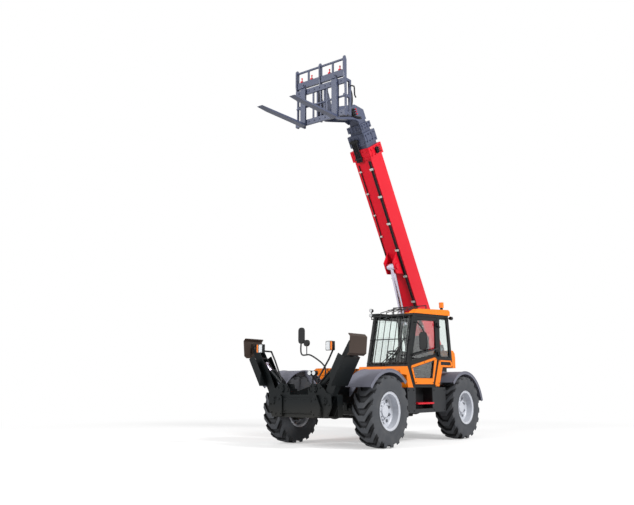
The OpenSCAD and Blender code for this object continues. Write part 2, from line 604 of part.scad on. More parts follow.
module amber_lenses() color("#e07c1a") {
  both_sides() {
    box(head_lamp + [40, 26, -68], head_lamp + [52, 62, 68]);
    box(rear_lamp + [-74, -54, -40], rear_lamp + [-60, 54, 40]);
  }
  translate([beacon.x, beacon.y, beacon_z + lens_seat]) cylinder(r = 48, h = 110);
}

// Mirrors: left on the cab's front pillar, right on a tall bent tube from the engine cover
mirror_y = 1400;
module mirror_head(x, y, z, w, h) box([x - 20, y - w / 2, z - h / 2], [x + 20, y + w / 2, z + h / 2]);
module mirrors() color(black) {
  bent_tube([[300, cab_left_y, 2220], [300, cab_left_y + 60, 2220], [420, cab_left_y + 150, 2200],
             [480, mirror_y, 2060], [480, mirror_y, 1900]], 12);
  mirror_head(480, mirror_y, 1850, 160, 330);
  right_x = cover_x1 - 50;
  bent_tube([[cover_x1, -720, 1150], [cover_x1 + 70, -720, 1150], [cover_x1 + 60, -720, 1420],
             [cover_x1 + 40, -1080, 1650], [right_x, -mirror_y, 1690], [right_x, -mirror_y, 2050]], 14);
  mirror_head(right_x, -mirror_y, 2060, 160, 330);
  rod([cover_x1, -1222, 1667], [cover_x1, -1222, 1860], 9);
  mirror_head(cover_x1, -1222, 1900, 150, 130);
}

// Boom, in a frame at its pivot with x along the boom and z across it
module in_boom() translate([boom_pivot_x, boom_y, boom_pivot_z]) rotate([0, -boom_angle, 0]) children();
function boom_to_world(u, v) = [boom_pivot_x, boom_pivot_z] + turn([u, v], boom_angle);
module tube(u0, u1, w, h, t) difference() {
  translate([u0, -w / 2, -h / 2]) cube([u1 - u0, w, h]);
  translate([u0 - 1, -w / 2 + t, -h / 2 + t]) cube([u1 - u0 + 2, w - 2 * t, h - 2 * t]);
}
module ring(u0, u1, w, h, in_w, in_h) difference() {
  translate([u0, -w / 2, -h / 2]) cube([u1 - u0, w, h]);
  translate([u0 - 1, -in_w / 2, -in_h / 2]) cube([u1 - u0 + 2, in_w, in_h]);
}
stage_gap = 0.6;
stage_t = 10;
function stage_w(n) = outer_w - (n - 1) * stage_step;
function stage_h(n) = outer_h - (n - 1) * (stage_step + 8);
outer_collar = 230;
stage_end = [0, 0, 5180, 5365, 5600];
stage_collar = [0, 0, 245, 130, 0];
stage_start = [0, 0, 350, 560, 770];
lift_eye = [2290, -420];
lift_ear_in = 100;
lift_ear_t = 26;
boom_rear = -180;

module boom_outer() color(red) in_boom() difference() {
  union() {
    tube(boom_rear, outer_end - outer_collar, outer_w, outer_h, outer_t);
    ring(outer_end - outer_collar, outer_end, outer_w + 60, outer_h + 60,
         stage_w(2) + stage_gap, stage_h(2) + stage_gap);
    for (y = [-ear_gap + 1, outer_w / 2 - eps]) bar_y(0, 0, 95, y, y + ear_gap - 1 - outer_w / 2 + eps);
    for (y = [-lift_ear_in - lift_ear_t, lift_ear_in])
      plate_xz([[2030, -outer_h / 2 + eps], [2160, lift_eye.y - 90], [2420, lift_eye.y - 90],
                [2550, -outer_h / 2 + eps]], y, y + lift_ear_t);
    for (y = [-lift_ear_in - lift_ear_t - 20, lift_ear_in + lift_ear_t])
      bar_y(lift_eye.x, lift_eye.y, 65, y, y + 20);
  }
  bar_y(0, 0, pivot_pin_r + fit, -ear_gap, ear_gap);
}
pipe_y = [140, 172];
pipe_r = 12;
module boom_pipes() color(black) in_boom() {
  for (y = pipe_y) translate([700, y, -outer_h / 2 - 22]) rotate([0, 90, 0]) cylinder(r = pipe_r, h = 3900);
  for (u = [740 : 610 : 4420])
    translate([u, pipe_y[0] - 26, -outer_h / 2 - 40]) cube([44, pipe_y[1] - pipe_y[0] + 52, 40]);
}
module boom_stage(n) {
  w = stage_w(n);
  h = stage_h(n);
  parent_t = n == 2 ? outer_t : stage_t;
  tube(stage_start[n], stage_end[n] - stage_collar[n], w, h, stage_t);
  ring(stage_start[n], stage_start[n] + 110, stage_w(n - 1) - 2 * parent_t - stage_gap,
       stage_h(n - 1) - 2 * parent_t - stage_gap, w - 2 * stage_t, h - 2 * stage_t);
  if (stage_collar[n] > 0)
    ring(stage_end[n] - stage_collar[n], stage_end[n], w + 60, h + 60,
         stage_w(n + 1) + stage_gap, stage_h(n + 1) + stage_gap);
}
module boom_stage_2() color(steel_blue) in_boom() boom_stage(2);
module boom_stage_3() color(steel_blue) in_boom() boom_stage(3);

// Drooped head on the fourth stage, with the carriage pin at its lower end
head_pin = [5786, -874];
head_pin_r = 40;
head_t = 25;
head_points = [[5420, 150], [5620, 150], [5790, -120], [5900, -780], [5890, -930], [5786, -985], [5690, -930],
               [5640, -760], [5500, -250], [5420, -150]];
module boom_stage_4() color(steel_blue) in_boom() {
  boom_stage(4);
  half = stage_w(4) / 2;
  difference() {
    for (y = [-half - head_t, half]) plate_xz(head_points, y, y + head_t);
    bar_y(head_pin.x, head_pin.y, head_pin_r + fit, -half - head_t - 1, half + head_t + 1);
  }
  plate_xz([[5600 - eps, 130], [5625, 100], [5770, -130], [5843, -555], [5813, -555], [5740, -140], [5600, 70]],
           -half - eps, half + eps);
  plate_xz([[5500, -160], [5530, -160], [5663, -620], [5633, -620]], -half - eps, half + eps);
}

// Fork carriage with its load guard, in a frame at the head pin
pin_at = boom_to_world(head_pin.x, head_pin.y);
module at_head() translate([pin_at.x, boom_y, pin_at.y]) children();
bar_x0 = 310;
bar_x1 = 350;
fork_under = -263;
guard_top = 965;
side_frame_x = 95;
side_frame_t = 40;
lug_half = stage_w(4) / 2 - 12;
module carriage() color(steel_blue) at_head() {
  half = carriage_w / 2;
  for (y = [-lug_half, lug_half - 30])
    plate_xz([[-40, -80], [40, -90], [bar_x0 + eps, -235], [bar_x0 + eps, 470], [230, 470], [60, 80], [-40, 80]],
             y, y + 30);
  bar_y(0, 0, head_pin_r, -lug_half - head_t - 20, lug_half + head_t + 20);
  bar_y(0, 0, 88, -lug_half, lug_half);
  for (z = [-240, 400]) box([bar_x0, -half, z], [bar_x1, half, z + 110]);
  for (y = [-half, -15, half - 30])
    plate_xz([[bar_x0 - 40, -240], [bar_x0 + eps, -240], [bar_x0 + eps, 300], [bar_x1 + 10, 620],
              [bar_x1 + 10, guard_top - 40], [bar_x1 - 20, guard_top], [bar_x0 - 10, guard_top],
              [bar_x0 - 40, guard_top - 60]], y, y + 30);
  bar_y(bar_x0, guard_top - 60, 22, -half + 10, half - 10);
  bar_y(bar_x0 + 10, 150, 20, -half + 10, half - 10);
  box([bar_x0 - 30, -half + 10, 560], [bar_x0 + 25, half - 10, 690]);
  for (y = [-half / 2, half / 2]) {
    box([bar_x0 - 10, y - 20, 680], [bar_x0 + 10, y + 20, guard_top - 60]);
    box([bar_x0 + 6, y - 150, -140], [bar_x0 + 26, y - 115, 410]);
    box([bar_x0 + 6, y + 115, -140], [bar_x0 + 26, y + 150, 410]);
  }
  for (y = [-half + 20, half - 20 - side_frame_t]) {
    box([side_frame_x, y, -190], [side_frame_x + 55, y + side_frame_t, 540]);
    for (z = [-190, 160, 490]) box([side_frame_x, y, z], [bar_x0 + eps, y + side_frame_t, z + 50]);
  }
}
fork_t = 45;
module forks() color(steel_blue) at_head() for (y = [-fork_pitch / 2, fork_pitch / 2]) {
  plate_xz([[bar_x1, fork_under], [bar_x1 + fork_len - 200, fork_under], [bar_x1 + fork_len + 40, fork_under + 18],
            [bar_x1 + fork_len + 40, fork_under + 26], [bar_x1 + fork_t, fork_under + fork_t],
            [bar_x1 + fork_t, 520], [bar_x1, 520]], y - fork_w / 2, y + fork_w / 2);
}

// Lift cylinder between the towers and the boom
lift_pin_at = boom_to_world(lift_eye.x, lift_eye.y);
lift_vec = lift_pin_at - lift_base;
lift_len = norm(lift_vec);
lift_tilt = atan2(lift_vec.y, lift_vec.x);
lift_barrel_r = 88;
lift_rod_r = 55;
lift_barrel_len = 1380;
lift_eye_half = lift_ear_in - 14;
module in_lift() translate([lift_base.x, boom_y, lift_base.y]) rotate([0, -lift_tilt, 0]) children();
module lift_barrel() color(charcoal) in_lift() difference() {
  union() {
    bar_y(0, 0, 84, -95, 95);
    bar_x(0, 0, lift_barrel_r, 60, lift_barrel_len);
  }
  bar_y(0, 0, lift_pin_r + fit, -100, 100);
  bar_x(0, 0, lift_rod_r + fit, 130, lift_barrel_len + 1);
}
module lift_rod() color("#d8d4dc") in_lift() difference() {
  union() {
    bar_x(0, 0, lift_rod_r, lift_len - 1480, lift_len - 40);
    bar_y(lift_len, 0, 76, -lift_eye_half, lift_eye_half);
  }
  bar_y(lift_len, 0, 42, -lift_eye_half - 1, lift_eye_half + 1);
}

// Stabilisers, modelled on the left and mirrored
stab_pin_at = [stab_pivot_y, stab_pivot_z];
stab_dir = turn([0, 1], -stab_lean);
stab_in = turn(stab_dir, 90);
foot_pin_at = stab_pin_at + stab_arm_len * stab_dir;
rod_pin_s = 700;
rod_pin_n = 45;
rod_pin_at = stab_pin_at + rod_pin_s * stab_dir + rod_pin_n * stab_in;
arm_x0 = front_rear_face + plate_t + 6;
arm_x1 = front_front_face - plate_t - 6;
arm_t = 15;
channel_s0 = 330;
channel_s1 = 870;
foot_pin_r = 20;
// Frame with z along the arm and y outwards across it
module in_arm() translate([0, stab_pin_at.x, stab_pin_at.y]) rotate([-stab_lean, 0, 0]) children();
arm_points = [[-60, -80], [60, -80], [72, 100], [72, stab_arm_len - 120], [50, stab_arm_len + 45],
              [-50, stab_arm_len + 45], [-70, 740], [-100, 560], [-70, 80]];
module stab_arm(side) color(charcoal) on_side(side) in_arm() {
  difference() {
    union() {
      for (x = [arm_x0, arm_x1 - arm_t]) plate_yz(arm_points, x, x + arm_t);
      box([arm_x0, 54, 130], [arm_x1, 72, 560]);
      box([arm_x0, -70, 790], [arm_x1, 72, 815]);
      box([stab_x - foot_len / 2, 72 - eps, channel_s0], [stab_x + foot_len / 2, 72 + arm_t, channel_s1]);
      for (x = [stab_x - foot_len / 2, stab_x + foot_len / 2 - arm_t])
        plate_yz([[72, channel_s0], [72, channel_s1], [-40, channel_s1], [-40, channel_s0 + 180]], x, x + arm_t);
    }
    bar_x(0, 0, stab_pin_r + fit, arm_x0 - 1, arm_x1 + 1);
    bar_x(0, stab_arm_len, foot_pin_r + fit, arm_x0 - 1, arm_x1 + 1);
  }
}
foot_face = 120;
foot_half = 180;
foot_slant = 95;
foot_t = 16;
module in_foot() translate([0, foot_pin_at.x, foot_pin_at.y]) rotate([-foot_slant, 0, 0]) children();
module stab_foot(side) color(charcoal) on_side(side) in_foot() {
  plate_yz([[-foot_half, foot_face - 50], [-foot_half + 16, foot_face - 50], [-foot_half + 50, foot_face - foot_t],
            [foot_half - 50, foot_face - foot_t], [foot_half - 16, foot_face - 50], [foot_half, foot_face - 50],
            [foot_half - 42, foot_face], [-foot_half + 42, foot_face]],
           stab_x - foot_len / 2, stab_x + foot_len / 2);
  for (x = [arm_x0 + arm_t + 6, arm_x1 - arm_t - 6 - 16])
    plate_yz([[-45, -30], [45, -30], [90, foot_face - foot_t + eps], [-90, foot_face - foot_t + eps]], x, x + 16);
  bar_x(0, 0, foot_pin_r, arm_x0 - 2, arm_x1 + 2);
}
cyl_vec = rod_pin_at - stab_base;
cyl_len = norm(cyl_vec);
cyl_tilt = atan2(cyl_vec.y, cyl_vec.x);
cyl_barrel_r = 40;
cyl_rod_r = 26;
cyl_barrel_len = 470;
cyl_half = 34;
// Frame with y along the cylinder, from its base pin
module in_cyl() translate([stab_x, stab_base.x, stab_base.y]) rotate([cyl_tilt, 0, 0]) children();
module stab_barrel(side) color(charcoal) on_side(side) in_cyl() difference() {
  union() {
    bar_x(0, 0, 40, -cyl_half, cyl_half);
    bar_y(0, 0, cyl_barrel_r, 20, cyl_barrel_len);
  }
  bar_x(0, 0, base_pin_r + fit, -cyl_barrel_r - 1, cyl_barrel_r + 1);
  bar_y(0, 0, cyl_rod_r + fit, 60, cyl_barrel_len + 1);
}
module stab_rod(side) color("#cfc8d8") on_side(side) in_cyl() difference() {
  union() {
    bar_y(0, 0, cyl_rod_r, cyl_len - 560, cyl_len - 20);
    translate([-cyl_half, cyl_len, 0]) rotate([0, 90, 0]) cylinder(r = 36, h = 2 * cyl_half);
  }
  translate([-cyl_half - 1, cyl_len, 0]) rotate([0, 90, 0]) cylinder(r = 20, h = 2 * cyl_half + 2);
}

main_frame();
boom_towers();
boom_pins();
front_frame();
front_axle();
rear_axle();
engine_block();
engine_cover();
engine_lid();
step_box();
step_tread();
cab_shell();
cab_roof();
cab_panes();
guard_bars();
operator_chair();
steering_column();
console();
front_cowl();
rear_cover();
side_panel();
fenders();
lamp_housings();
lamp_lenses();
amber_lenses();
mirrors();
door_frame();
door_panel();
door_pane();
boom_outer();
boom_pipes();
boom_stage_2();
boom_stage_3();
boom_stage_4();
lift_barrel();
lift_rod();
carriage();
forks();
stab_arm(1);  // stab_arm_left
stab_arm(-1);  // stab_arm_right
stab_foot(1);  // stab_foot_left
stab_foot(-1);  // stab_foot_right
stab_barrel(1);  // stab_barrel_left
stab_barrel(-1);  // stab_barrel_right
stab_rod(1);  // stab_rod_left
stab_rod(-1);  // stab_rod_right
knuckle(front_axle_x, 1);  // knuckle_fl
knuckle(front_axle_x, -1);  // knuckle_fr
knuckle(rear_axle_x, 1);  // knuckle_rl
knuckle(rear_axle_x, -1);  // knuckle_rr
rim(front_axle_x, 1);  // rim_fl
rim(front_axle_x, -1);  // rim_fr
rim(rear_axle_x, 1);  // rim_rl
rim(rear_axle_x, -1);  // rim_rr
tyre(front_axle_x, 1);  // tyre_fl
tyre(front_axle_x, -1);  // tyre_fr
tyre(rear_axle_x, 1);  // tyre_rl
tyre(rear_axle_x, -1);  // tyre_rr
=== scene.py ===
"""Telescopic handler: finishes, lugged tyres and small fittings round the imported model, in metres."""

import json
import math

import bpy
import numpy as np
from mathutils import Euler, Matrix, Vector


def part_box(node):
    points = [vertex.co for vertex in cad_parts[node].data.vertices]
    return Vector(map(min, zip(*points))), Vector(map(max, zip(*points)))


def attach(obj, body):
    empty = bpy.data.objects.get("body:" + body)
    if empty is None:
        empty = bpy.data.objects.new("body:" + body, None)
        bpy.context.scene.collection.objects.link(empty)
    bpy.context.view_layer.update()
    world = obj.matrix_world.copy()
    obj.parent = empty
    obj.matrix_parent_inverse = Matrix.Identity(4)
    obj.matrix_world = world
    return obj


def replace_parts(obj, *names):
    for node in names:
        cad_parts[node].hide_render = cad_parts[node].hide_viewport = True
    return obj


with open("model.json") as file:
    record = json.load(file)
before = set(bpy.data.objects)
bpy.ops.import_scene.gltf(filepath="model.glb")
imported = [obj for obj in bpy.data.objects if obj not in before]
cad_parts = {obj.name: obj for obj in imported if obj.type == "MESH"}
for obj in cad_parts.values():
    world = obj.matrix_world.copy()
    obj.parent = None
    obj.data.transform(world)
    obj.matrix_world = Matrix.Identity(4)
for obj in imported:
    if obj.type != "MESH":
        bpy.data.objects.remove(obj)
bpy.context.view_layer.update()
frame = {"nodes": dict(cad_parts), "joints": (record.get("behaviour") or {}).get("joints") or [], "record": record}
scene = bpy.context.scene
TURN = 2 * math.pi
FORWARD, LEFT, UP = np.eye(3)
joint = {row["name"]: row for row in frame["joints"]}


# Colours and nodes

def linear(hex_colour):
    """An sRGB hex colour as linear red, green, blue and alpha."""
    share = np.array([int(hex_colour[i:i + 2], 16) for i in (1, 3, 5)]) / 255
    light = np.where(share <= 0.04045, share / 12.92, ((share + 0.055) / 1.055) ** 2.4)
    return (*light, 1.0)


def add(tree, kind, inputs=None, **settings):
    """Adds a node. Settings are its own properties; inputs gives values, or the sockets that feed them."""
    made = tree.nodes.new(kind)
    for name, value in settings.items():
        setattr(made, name, value)
    for key, value in (inputs or {}).items():
        if isinstance(value, bpy.types.NodeSocket):
            tree.links.new(value, made.inputs[key])
        else:
            made.inputs[key].default_value = value
    return made


def new_material(name):
    """An empty node material, its tree and its object coordinates."""
    material = bpy.data.materials.new(name)
    material.use_nodes = True
    tree = material.node_tree
    tree.nodes.clear()
    where = add(tree, "ShaderNodeTexCoord").outputs["Object"]
    return material, tree, where


def per_metre(millimetres):
    """The scale of a texture whose marks are about that many millimetres across."""
    return 1000.0 / millimetres


# Sockets of the mix node when it mixes colours
MIX_SHARE, MIX_A, MIX_B, MIX_OUT = 0, 6, 7, 2
PAINT_EDGE, MOULD_EDGE, EDGE_SAMPLES = 0.005, 0.006, 4
DUST, DUST_TOP, DUST_FULL, DUST_SHARE = "#7d766b", 0.8, 0.2, 0.25


# Real orange peel and lamp ribs are about 3 mm across, and grain, pits, prints, threads and grinding marks
# 1 mm or less. All are drawn at 6 to 30 mm, so that they show on a machine this large

def painted_steel(name, colour, shade, wear_and_painted_shade, rough, shine):
    """Sprayed steel: cloudy colour, orange peel, rounded and rubbed edges, road dust near the ground."""
    material, tree, where = new_material(name)
    cloud = add(tree, "ShaderNodeTexNoise", {"Vector": where, "Scale": per_metre(900), "Detail": 3.0})
    cloudy = cloud.outputs["Fac"]
    base = add(tree, "ShaderNodeMix", {MIX_SHARE: cloudy, MIX_A: linear(colour), MIX_B: linear(shade)},
               data_type="RGBA")
    bevel = add(tree, "ShaderNodeBevel", {"Radius": PAINT_EDGE}, samples=EDGE_SAMPLES)
    flat = add(tree, "ShaderNodeNewGeometry")
    same = add(tree, "ShaderNodeVectorMath", {0: bevel.outputs[0], 1: flat.outputs["Normal"]},
               operation="DOT_PRODUCT")
    edge = add(tree, "ShaderNodeMapRange", {"Value": same.outputs["Value"], "From Min": 0.97,
                                            "From Max": 0.75})
    patch = add(tree, "ShaderNodeTexNoise", {"Vector": where, "Scale": per_metre(60), "Detail": 4.0})
    some = add(tree, "ShaderNodeMapRange", {"Value": patch.outputs["Fac"], "From Min": 0.48,
                                            "From Max": 0.72})
    rubbed = add(tree, "ShaderNodeMath", {0: edge.outputs[0], 1: some.outputs[0]}, operation="MULTIPLY")
    edged = add(tree, "ShaderNodeMix", {MIX_SHARE: rubbed.outputs[0], MIX_A: base.outputs[MIX_OUT],
                                        MIX_B: linear(wear_and_painted_shade)}, data_type="RGBA")
    height = add(tree, "ShaderNodeSeparateXYZ", {0: where})
    low = add(tree, "ShaderNodeMapRange", {"Value": height.outputs["Z"], "From Min": DUST_TOP,
                                           "From Max": DUST_FULL, "To Max": DUST_SHARE})
    grime = add(tree, "ShaderNodeMath", {0: low.outputs[0], 1: cloudy}, operation="MULTIPLY")
    dusty = add(tree, "ShaderNodeMix", {MIX_SHARE: grime.outputs[0], MIX_A: edged.outputs[MIX_OUT],
                                        MIX_B: linear(DUST)}, data_type="RGBA")
    peel = add(tree, "ShaderNodeTexNoise", {"Vector": where, "Scale": per_metre(25), "Detail": 1.0})
    bump = add(tree, "ShaderNodeBump", {"Height": peel.outputs["Fac"], "Strength": 0.05, "Distance": 0.004,
                                        "Normal": bevel.outputs[0]})
    gloss = add(tree, "ShaderNodeMapRange", {"Value": cloudy, "To Min": rough - 0.06, "To Max": rough + 0.1})
    paint = add(tree, "ShaderNodeBsdfPrincipled", {
        "Base Color": dusty.outputs[MIX_OUT], "Roughness": gloss.outputs[0], "Normal": bump.outputs[0],
        "Specular IOR Level": shine})
    add(tree, "ShaderNodeOutputMaterial", {"Surface": paint.outputs[0]})
    return material


def moulded_plastic(name, colour, shade, rough, grain_mm):
    """Injection or rotation moulded plastic: an even colour gone a little chalky, with a pebbled grain."""
    material, tree, where = new_material(name)
    cloud = add(tree, "ShaderNodeTexNoise", {"Vector": where, "Scale": per_metre(400), "Detail": 4.0})
    cloudy = cloud.outputs["Fac"]
    chalky = add(tree, "ShaderNodeMix", {MIX_SHARE: cloudy, MIX_A: linear(colour), MIX_B: linear(shade)},
                 data_type="RGBA")
    grain = add(tree, "ShaderNodeTexVoronoi", {"Vector": where, "Scale": per_metre(grain_mm)})
    bevel = add(tree, "ShaderNodeBevel", {"Radius": MOULD_EDGE}, samples=EDGE_SAMPLES)
    bump = add(tree, "ShaderNodeBump", {"Height": grain.outputs["Distance"], "Strength": 0.1,
                                        "Distance": 0.003, "Normal": bevel.outputs[0]})
    gloss = add(tree, "ShaderNodeMapRange", {"Value": cloudy, "To Min": rough - 0.05, "To Max": rough + 0.1})
    plastic = add(tree, "ShaderNodeBsdfPrincipled", {
        "Base Color": chalky.outputs[MIX_OUT], "Roughness": gloss.outputs[0], "Normal": bump.outputs[0],
        "Specular IOR Level": 0.25})
    add(tree, "ShaderNodeOutputMaterial", {"Surface": plastic.outputs[0]})
    return material


def tyre_compound(name):
    """Cured tyre rubber: greyed by bloom and dust where it stands free, with painted shade that turns it black in
    the grooves.
    """
    material, tree, where = new_material(name)
    cloud = add(tree, "ShaderNodeTexNoise", {"Vector": where, "Scale": per_metre(180), "Detail": 6.0})
    some = add(tree, "ShaderNodeMapRange", {"Value": cloud.outputs["Fac"], "From Min": 0.45, "From Max": 0.8,
                                            "To Max": 0.5})
    bloom = add(tree, "ShaderNodeMix", {MIX_SHARE: some.outputs[0], MIX_A: linear("#404246"),
                                        MIX_B: linear("#565657")}, data_type="RGBA")
    # Painted shade: ambient occlusion within 0.11 m blends the colour to near black in the grooves and hollows
    open_air = add(tree, "ShaderNodeAmbientOcclusion", {"Distance": 0.11}, samples=8, only_local=True)
    free = add(tree, "ShaderNodeMapRange", {"Value": open_air.outputs["AO"], "From Min": 0.62,
                                            "From Max": 0.98})
    wear_and_painted_shade = add(tree, "ShaderNodeMix", {MIX_SHARE: free.outputs[0], MIX_A: linear("#070708"),
                                       MIX_B: bloom.outputs[MIX_OUT]}, data_type="RGBA")
    skin = add(tree, "ShaderNodeTexNoise", {"Vector": where, "Scale": per_metre(12), "Detail": 5.0})
    bump = add(tree, "ShaderNodeBump", {"Height": skin.outputs["Fac"], "Strength": 0.2, "Distance": 0.004})
    rubber = add(tree, "ShaderNodeBsdfPrincipled", {
        "Base Color": wear_and_painted_shade.outputs[MIX_OUT], "Roughness": 0.7, "Normal": bump.outputs[0],
        "Specular IOR Level": 0.2})
    add(tree, "ShaderNodeOutputMaterial", {"Surface": rubber.outputs[0]})
    return material


def plated_steel(name, colour, shade, rough, streak_mm):
    """Ground and plated steel: a clean mirror with faint grinding rings and a thin film of oil."""
    material, tree, where = new_material(name)
    rings = add(tree, "ShaderNodeTexNoise", {"Vector": where, "Scale": per_metre(streak_mm), "Detail": 2.0})
    ringed = rings.outputs["Fac"]
    filmed = add(tree, "ShaderNodeMix", {MIX_SHARE: ringed, MIX_A: linear(colour), MIX_B: linear(shade)},
                 data_type="RGBA")
    gloss = add(tree, "ShaderNodeMapRange", {"Value": ringed, "To Min": rough * 0.6, "To Max": rough * 1.5})
    plate = add(tree, "ShaderNodeBsdfPrincipled", {
        "Base Color": filmed.outputs[MIX_OUT], "Metallic": 1.0, "Roughness": gloss.outputs[0]})
    add(tree, "ShaderNodeOutputMaterial", {"Surface": plate.outputs[0]})
    return material


def cast_iron(name, colour, shade):
    """Sand-cast iron under a thin coat: a pitted skin with oily darker patches."""
    material, tree, where = new_material(name)
    sand = add(tree, "ShaderNodeTexNoise", {"Vector": where, "Scale": per_metre(14), "Detail": 6.0})
    pits = sand.outputs["Fac"]
    oily = add(tree, "ShaderNodeMix", {MIX_SHARE: pits, MIX_A: linear(colour), MIX_B: linear(shade)},
               data_type="RGBA")
    bump = add(tree, "ShaderNodeBump", {"Height": pits, "Strength": 0.4, "Distance": 0.004})
    iron = add(tree, "ShaderNodeBsdfPrincipled", {
        "Base Color": oily.outputs[MIX_OUT], "Metallic": 0.6, "Roughness": 0.6, "Normal": bump.outputs[0]})
    add(tree, "ShaderNodeOutputMaterial", {"Surface": iron.outputs[0]})
    return material


def tinted_glass(name):
    """Float glass with a light grey-green tint: clear reflections, and a breath of dust in its roughness."""
    material, tree, where = new_material(name)
    haze = add(tree, "ShaderNodeTexNoise", {"Vector": where, "Scale": per_metre(350), "Detail": 3.0})
    gloss = add(tree, "ShaderNodeMapRange", {"Value": haze.outputs["Fac"], "To Min": 0.0, "To Max": 0.03})
    pane = add(tree, "ShaderNodeBsdfPrincipled", {
        "Base Color": linear("#f2f8f6"), "Roughness": gloss.outputs[0], "IOR": 1.5,
        "Transmission Weight": 1.0})
    add(tree, "ShaderNodeOutputMaterial", {"Surface": pane.outputs[0]})
    return material


def lens_plastic(name, colour, shade, rib_mm, clear):
    """Moulded lamp lens: clear or amber plastic with straight ribs on its face."""
    material, tree, where = new_material(name)
    wave = add(tree, "ShaderNodeTexWave", {"Vector": where, "Scale": per_metre(rib_mm) / TURN},
               bands_direction="Y")
    ribs = wave.outputs["Fac"]
    ribbed = add(tree, "ShaderNodeMix", {MIX_SHARE: ribs, MIX_A: linear(colour), MIX_B: linear(shade)},
                 data_type="RGBA")
    bump = add(tree, "ShaderNodeBump", {"Height": ribs, "Strength": 0.5, "Distance": 0.003})
    lens = add(tree, "ShaderNodeBsdfPrincipled", {
        "Base Color": ribbed.outputs[MIX_OUT], "Roughness": 0.12, "IOR": 1.49, "Normal": bump.outputs[0],
        "Transmission Weight": clear})
    add(tree, "ShaderNodeOutputMaterial", {"Surface": lens.outputs[0]})
    return material


def black_rubber(name, colour, shade, print_mm, rough):
    """Extruded or wrapped rubber: soft black with a faint print of the cloth or die that it was cured in."""
    material, tree, where = new_material(name)
    cloth = add(tree, "ShaderNodeTexNoise", {"Vector": where, "Scale": per_metre(print_mm), "Detail": 4.0})
    print_mark = cloth.outputs["Fac"]
    marked = add(tree, "ShaderNodeMix", {MIX_SHARE: print_mark, MIX_A: linear(colour), MIX_B: linear(shade)},
                 data_type="RGBA")
    bump = add(tree, "ShaderNodeBump", {"Height": print_mark, "Strength": 0.15, "Distance": 0.003})
    rubber = add(tree, "ShaderNodeBsdfPrincipled", {
        "Base Color": marked.outputs[MIX_OUT], "Roughness": rough, "Normal": bump.outputs[0],
        "Specular IOR Level": 0.2})
    add(tree, "ShaderNodeOutputMaterial", {"Surface": rubber.outputs[0]})
    return material


def woven_cloth(name, colour, shade, thread_mm):
    """Flat-woven chair cloth: two crossed sets of threads, one a little paler, with a soft sheen."""
    material, tree, where = new_material(name)
    threads = {"Vector": where, "Scale": per_metre(thread_mm) / TURN}
    warp = add(tree, "ShaderNodeTexWave", threads, bands_direction="X")
    weft = add(tree, "ShaderNodeTexWave", threads, bands_direction="Y")
    crossed = add(tree, "ShaderNodeMath", {0: warp.outputs["Fac"], 1: weft.outputs["Fac"]},
                  operation="MULTIPLY")
    over = crossed.outputs[0]
    woven = add(tree, "ShaderNodeMix", {MIX_SHARE: over, MIX_A: linear(colour), MIX_B: linear(shade)},
                data_type="RGBA")
    bump = add(tree, "ShaderNodeBump", {"Height": over, "Strength": 0.4, "Distance": 0.002})
    cloth = add(tree, "ShaderNodeBsdfPrincipled", {
        "Base Color": woven.outputs[MIX_OUT], "Roughness": 0.85, "Normal": bump.outputs[0],
        "Sheen Weight": 0.3})
    add(tree, "ShaderNodeOutputMaterial", {"Surface": cloth.outputs[0]})
    return material


finish = {
    "red_paint": painted_steel("gloss_red_paint", "#d01026", "#bf0a20", "#7c1018", 0.40, 0.2),
    "orange_paint": painted_steel("gloss_orange_paint", "#ea7c06", "#d96c03", "#8a5a18", 0.40, 0.2),
    "charcoal_paint": painted_steel("satin_charcoal_paint", "#111517", "#0c0f10", "#43474a", 0.42, 0.15),
    "blue_grey_paint": painted_steel("satin_blue_grey_paint", "#444b62", "#343a50", "#70778a", 0.38, 0.45),
    "grey_plastic": moulded_plastic("moulded_grey_plastic", "#6b6c78", "#5c5d68", 0.55, 14),
    "black_plastic": moulded_plastic("moulded_black_plastic", "#17181a", "#111214", 0.45, 10),
    "hose_rubber": black_rubber("wrapped_hose_rubber", "#101012", "#1e1e22", 10, 0.5),
    "silver_paint": painted_steel("silver_rim_enamel", "#bfc2ca", "#aeb2ba", "#7f8186", 0.36, 0.4),
    "tyre_rubber": tyre_compound("cured_tyre_rubber"),
    "chrome_rod": plated_steel("hard_chrome", "#d6d0de", "#b4aec0", 0.16, 30),
    "engine_iron": cast_iron("cast_engine_iron", "#5a5c5e", "#343638"),
    "cab_glass": tinted_glass("tinted_cab_glass"),
    "clear_lens": lens_plastic("clear_lamp_lens", "#f4f6f8", "#d5dade", 14, 0.3),
    "amber_lens": lens_plastic("amber_lamp_lens", "#ff8a12", "#e56a06", 12, 0.2),
}
step_box_finish = moulded_plastic("moulded_charcoal_plastic", "#202226", "#1a1c1f", 0.5, 14)
zinc_finish = plated_steel("zinc_plated_steel", "#a9abb0", "#85878c", 0.3, 20)
seal_finish = black_rubber("extruded_seal_rubber", "#0d0d0e", "#18181a", 16, 0.6)
chair_finish = woven_cloth("woven_chair_cloth", "#1c1d21", "#33353c", 9)
mirror_finish = plated_steel("silvered_mirror_glass", "#cfd6da", "#c2cad0", 0.03, 200)
sole_finish = painted_steel("scuffed_brown_steel", "#3d3029", "#2b2420", "#6b5a4c", 0.55, 0.2)
clip_finish = moulded_plastic("moulded_pale_clip_plastic", "#c9c9c4", "#b5b5b0", 0.5, 6)
own_finish = {"step_box": step_box_finish, "stab_foot_left": sole_finish, "stab_foot_right": sole_finish}
for row in frame["record"]["subparts"]:
    mesh = frame["nodes"][row["node"]].data
    mesh.materials.clear()
    mesh.materials.append(own_finish.get(row["node"], finish[row["material_slot"]]))


# Shapes: a shape is its points, its four-cornered faces and its three-cornered faces

NO_TRIANGLES = np.empty((0, 3), int)
SPAN_STEPS, CORNER_STEPS, BEND_STEPS = 8, 4, 6


def unit(vector):
    """A vector, or rows of them, at length one."""
    vector = np.asarray(vector, float)
    return vector / np.linalg.norm(vector, axis=-1, keepdims=True)


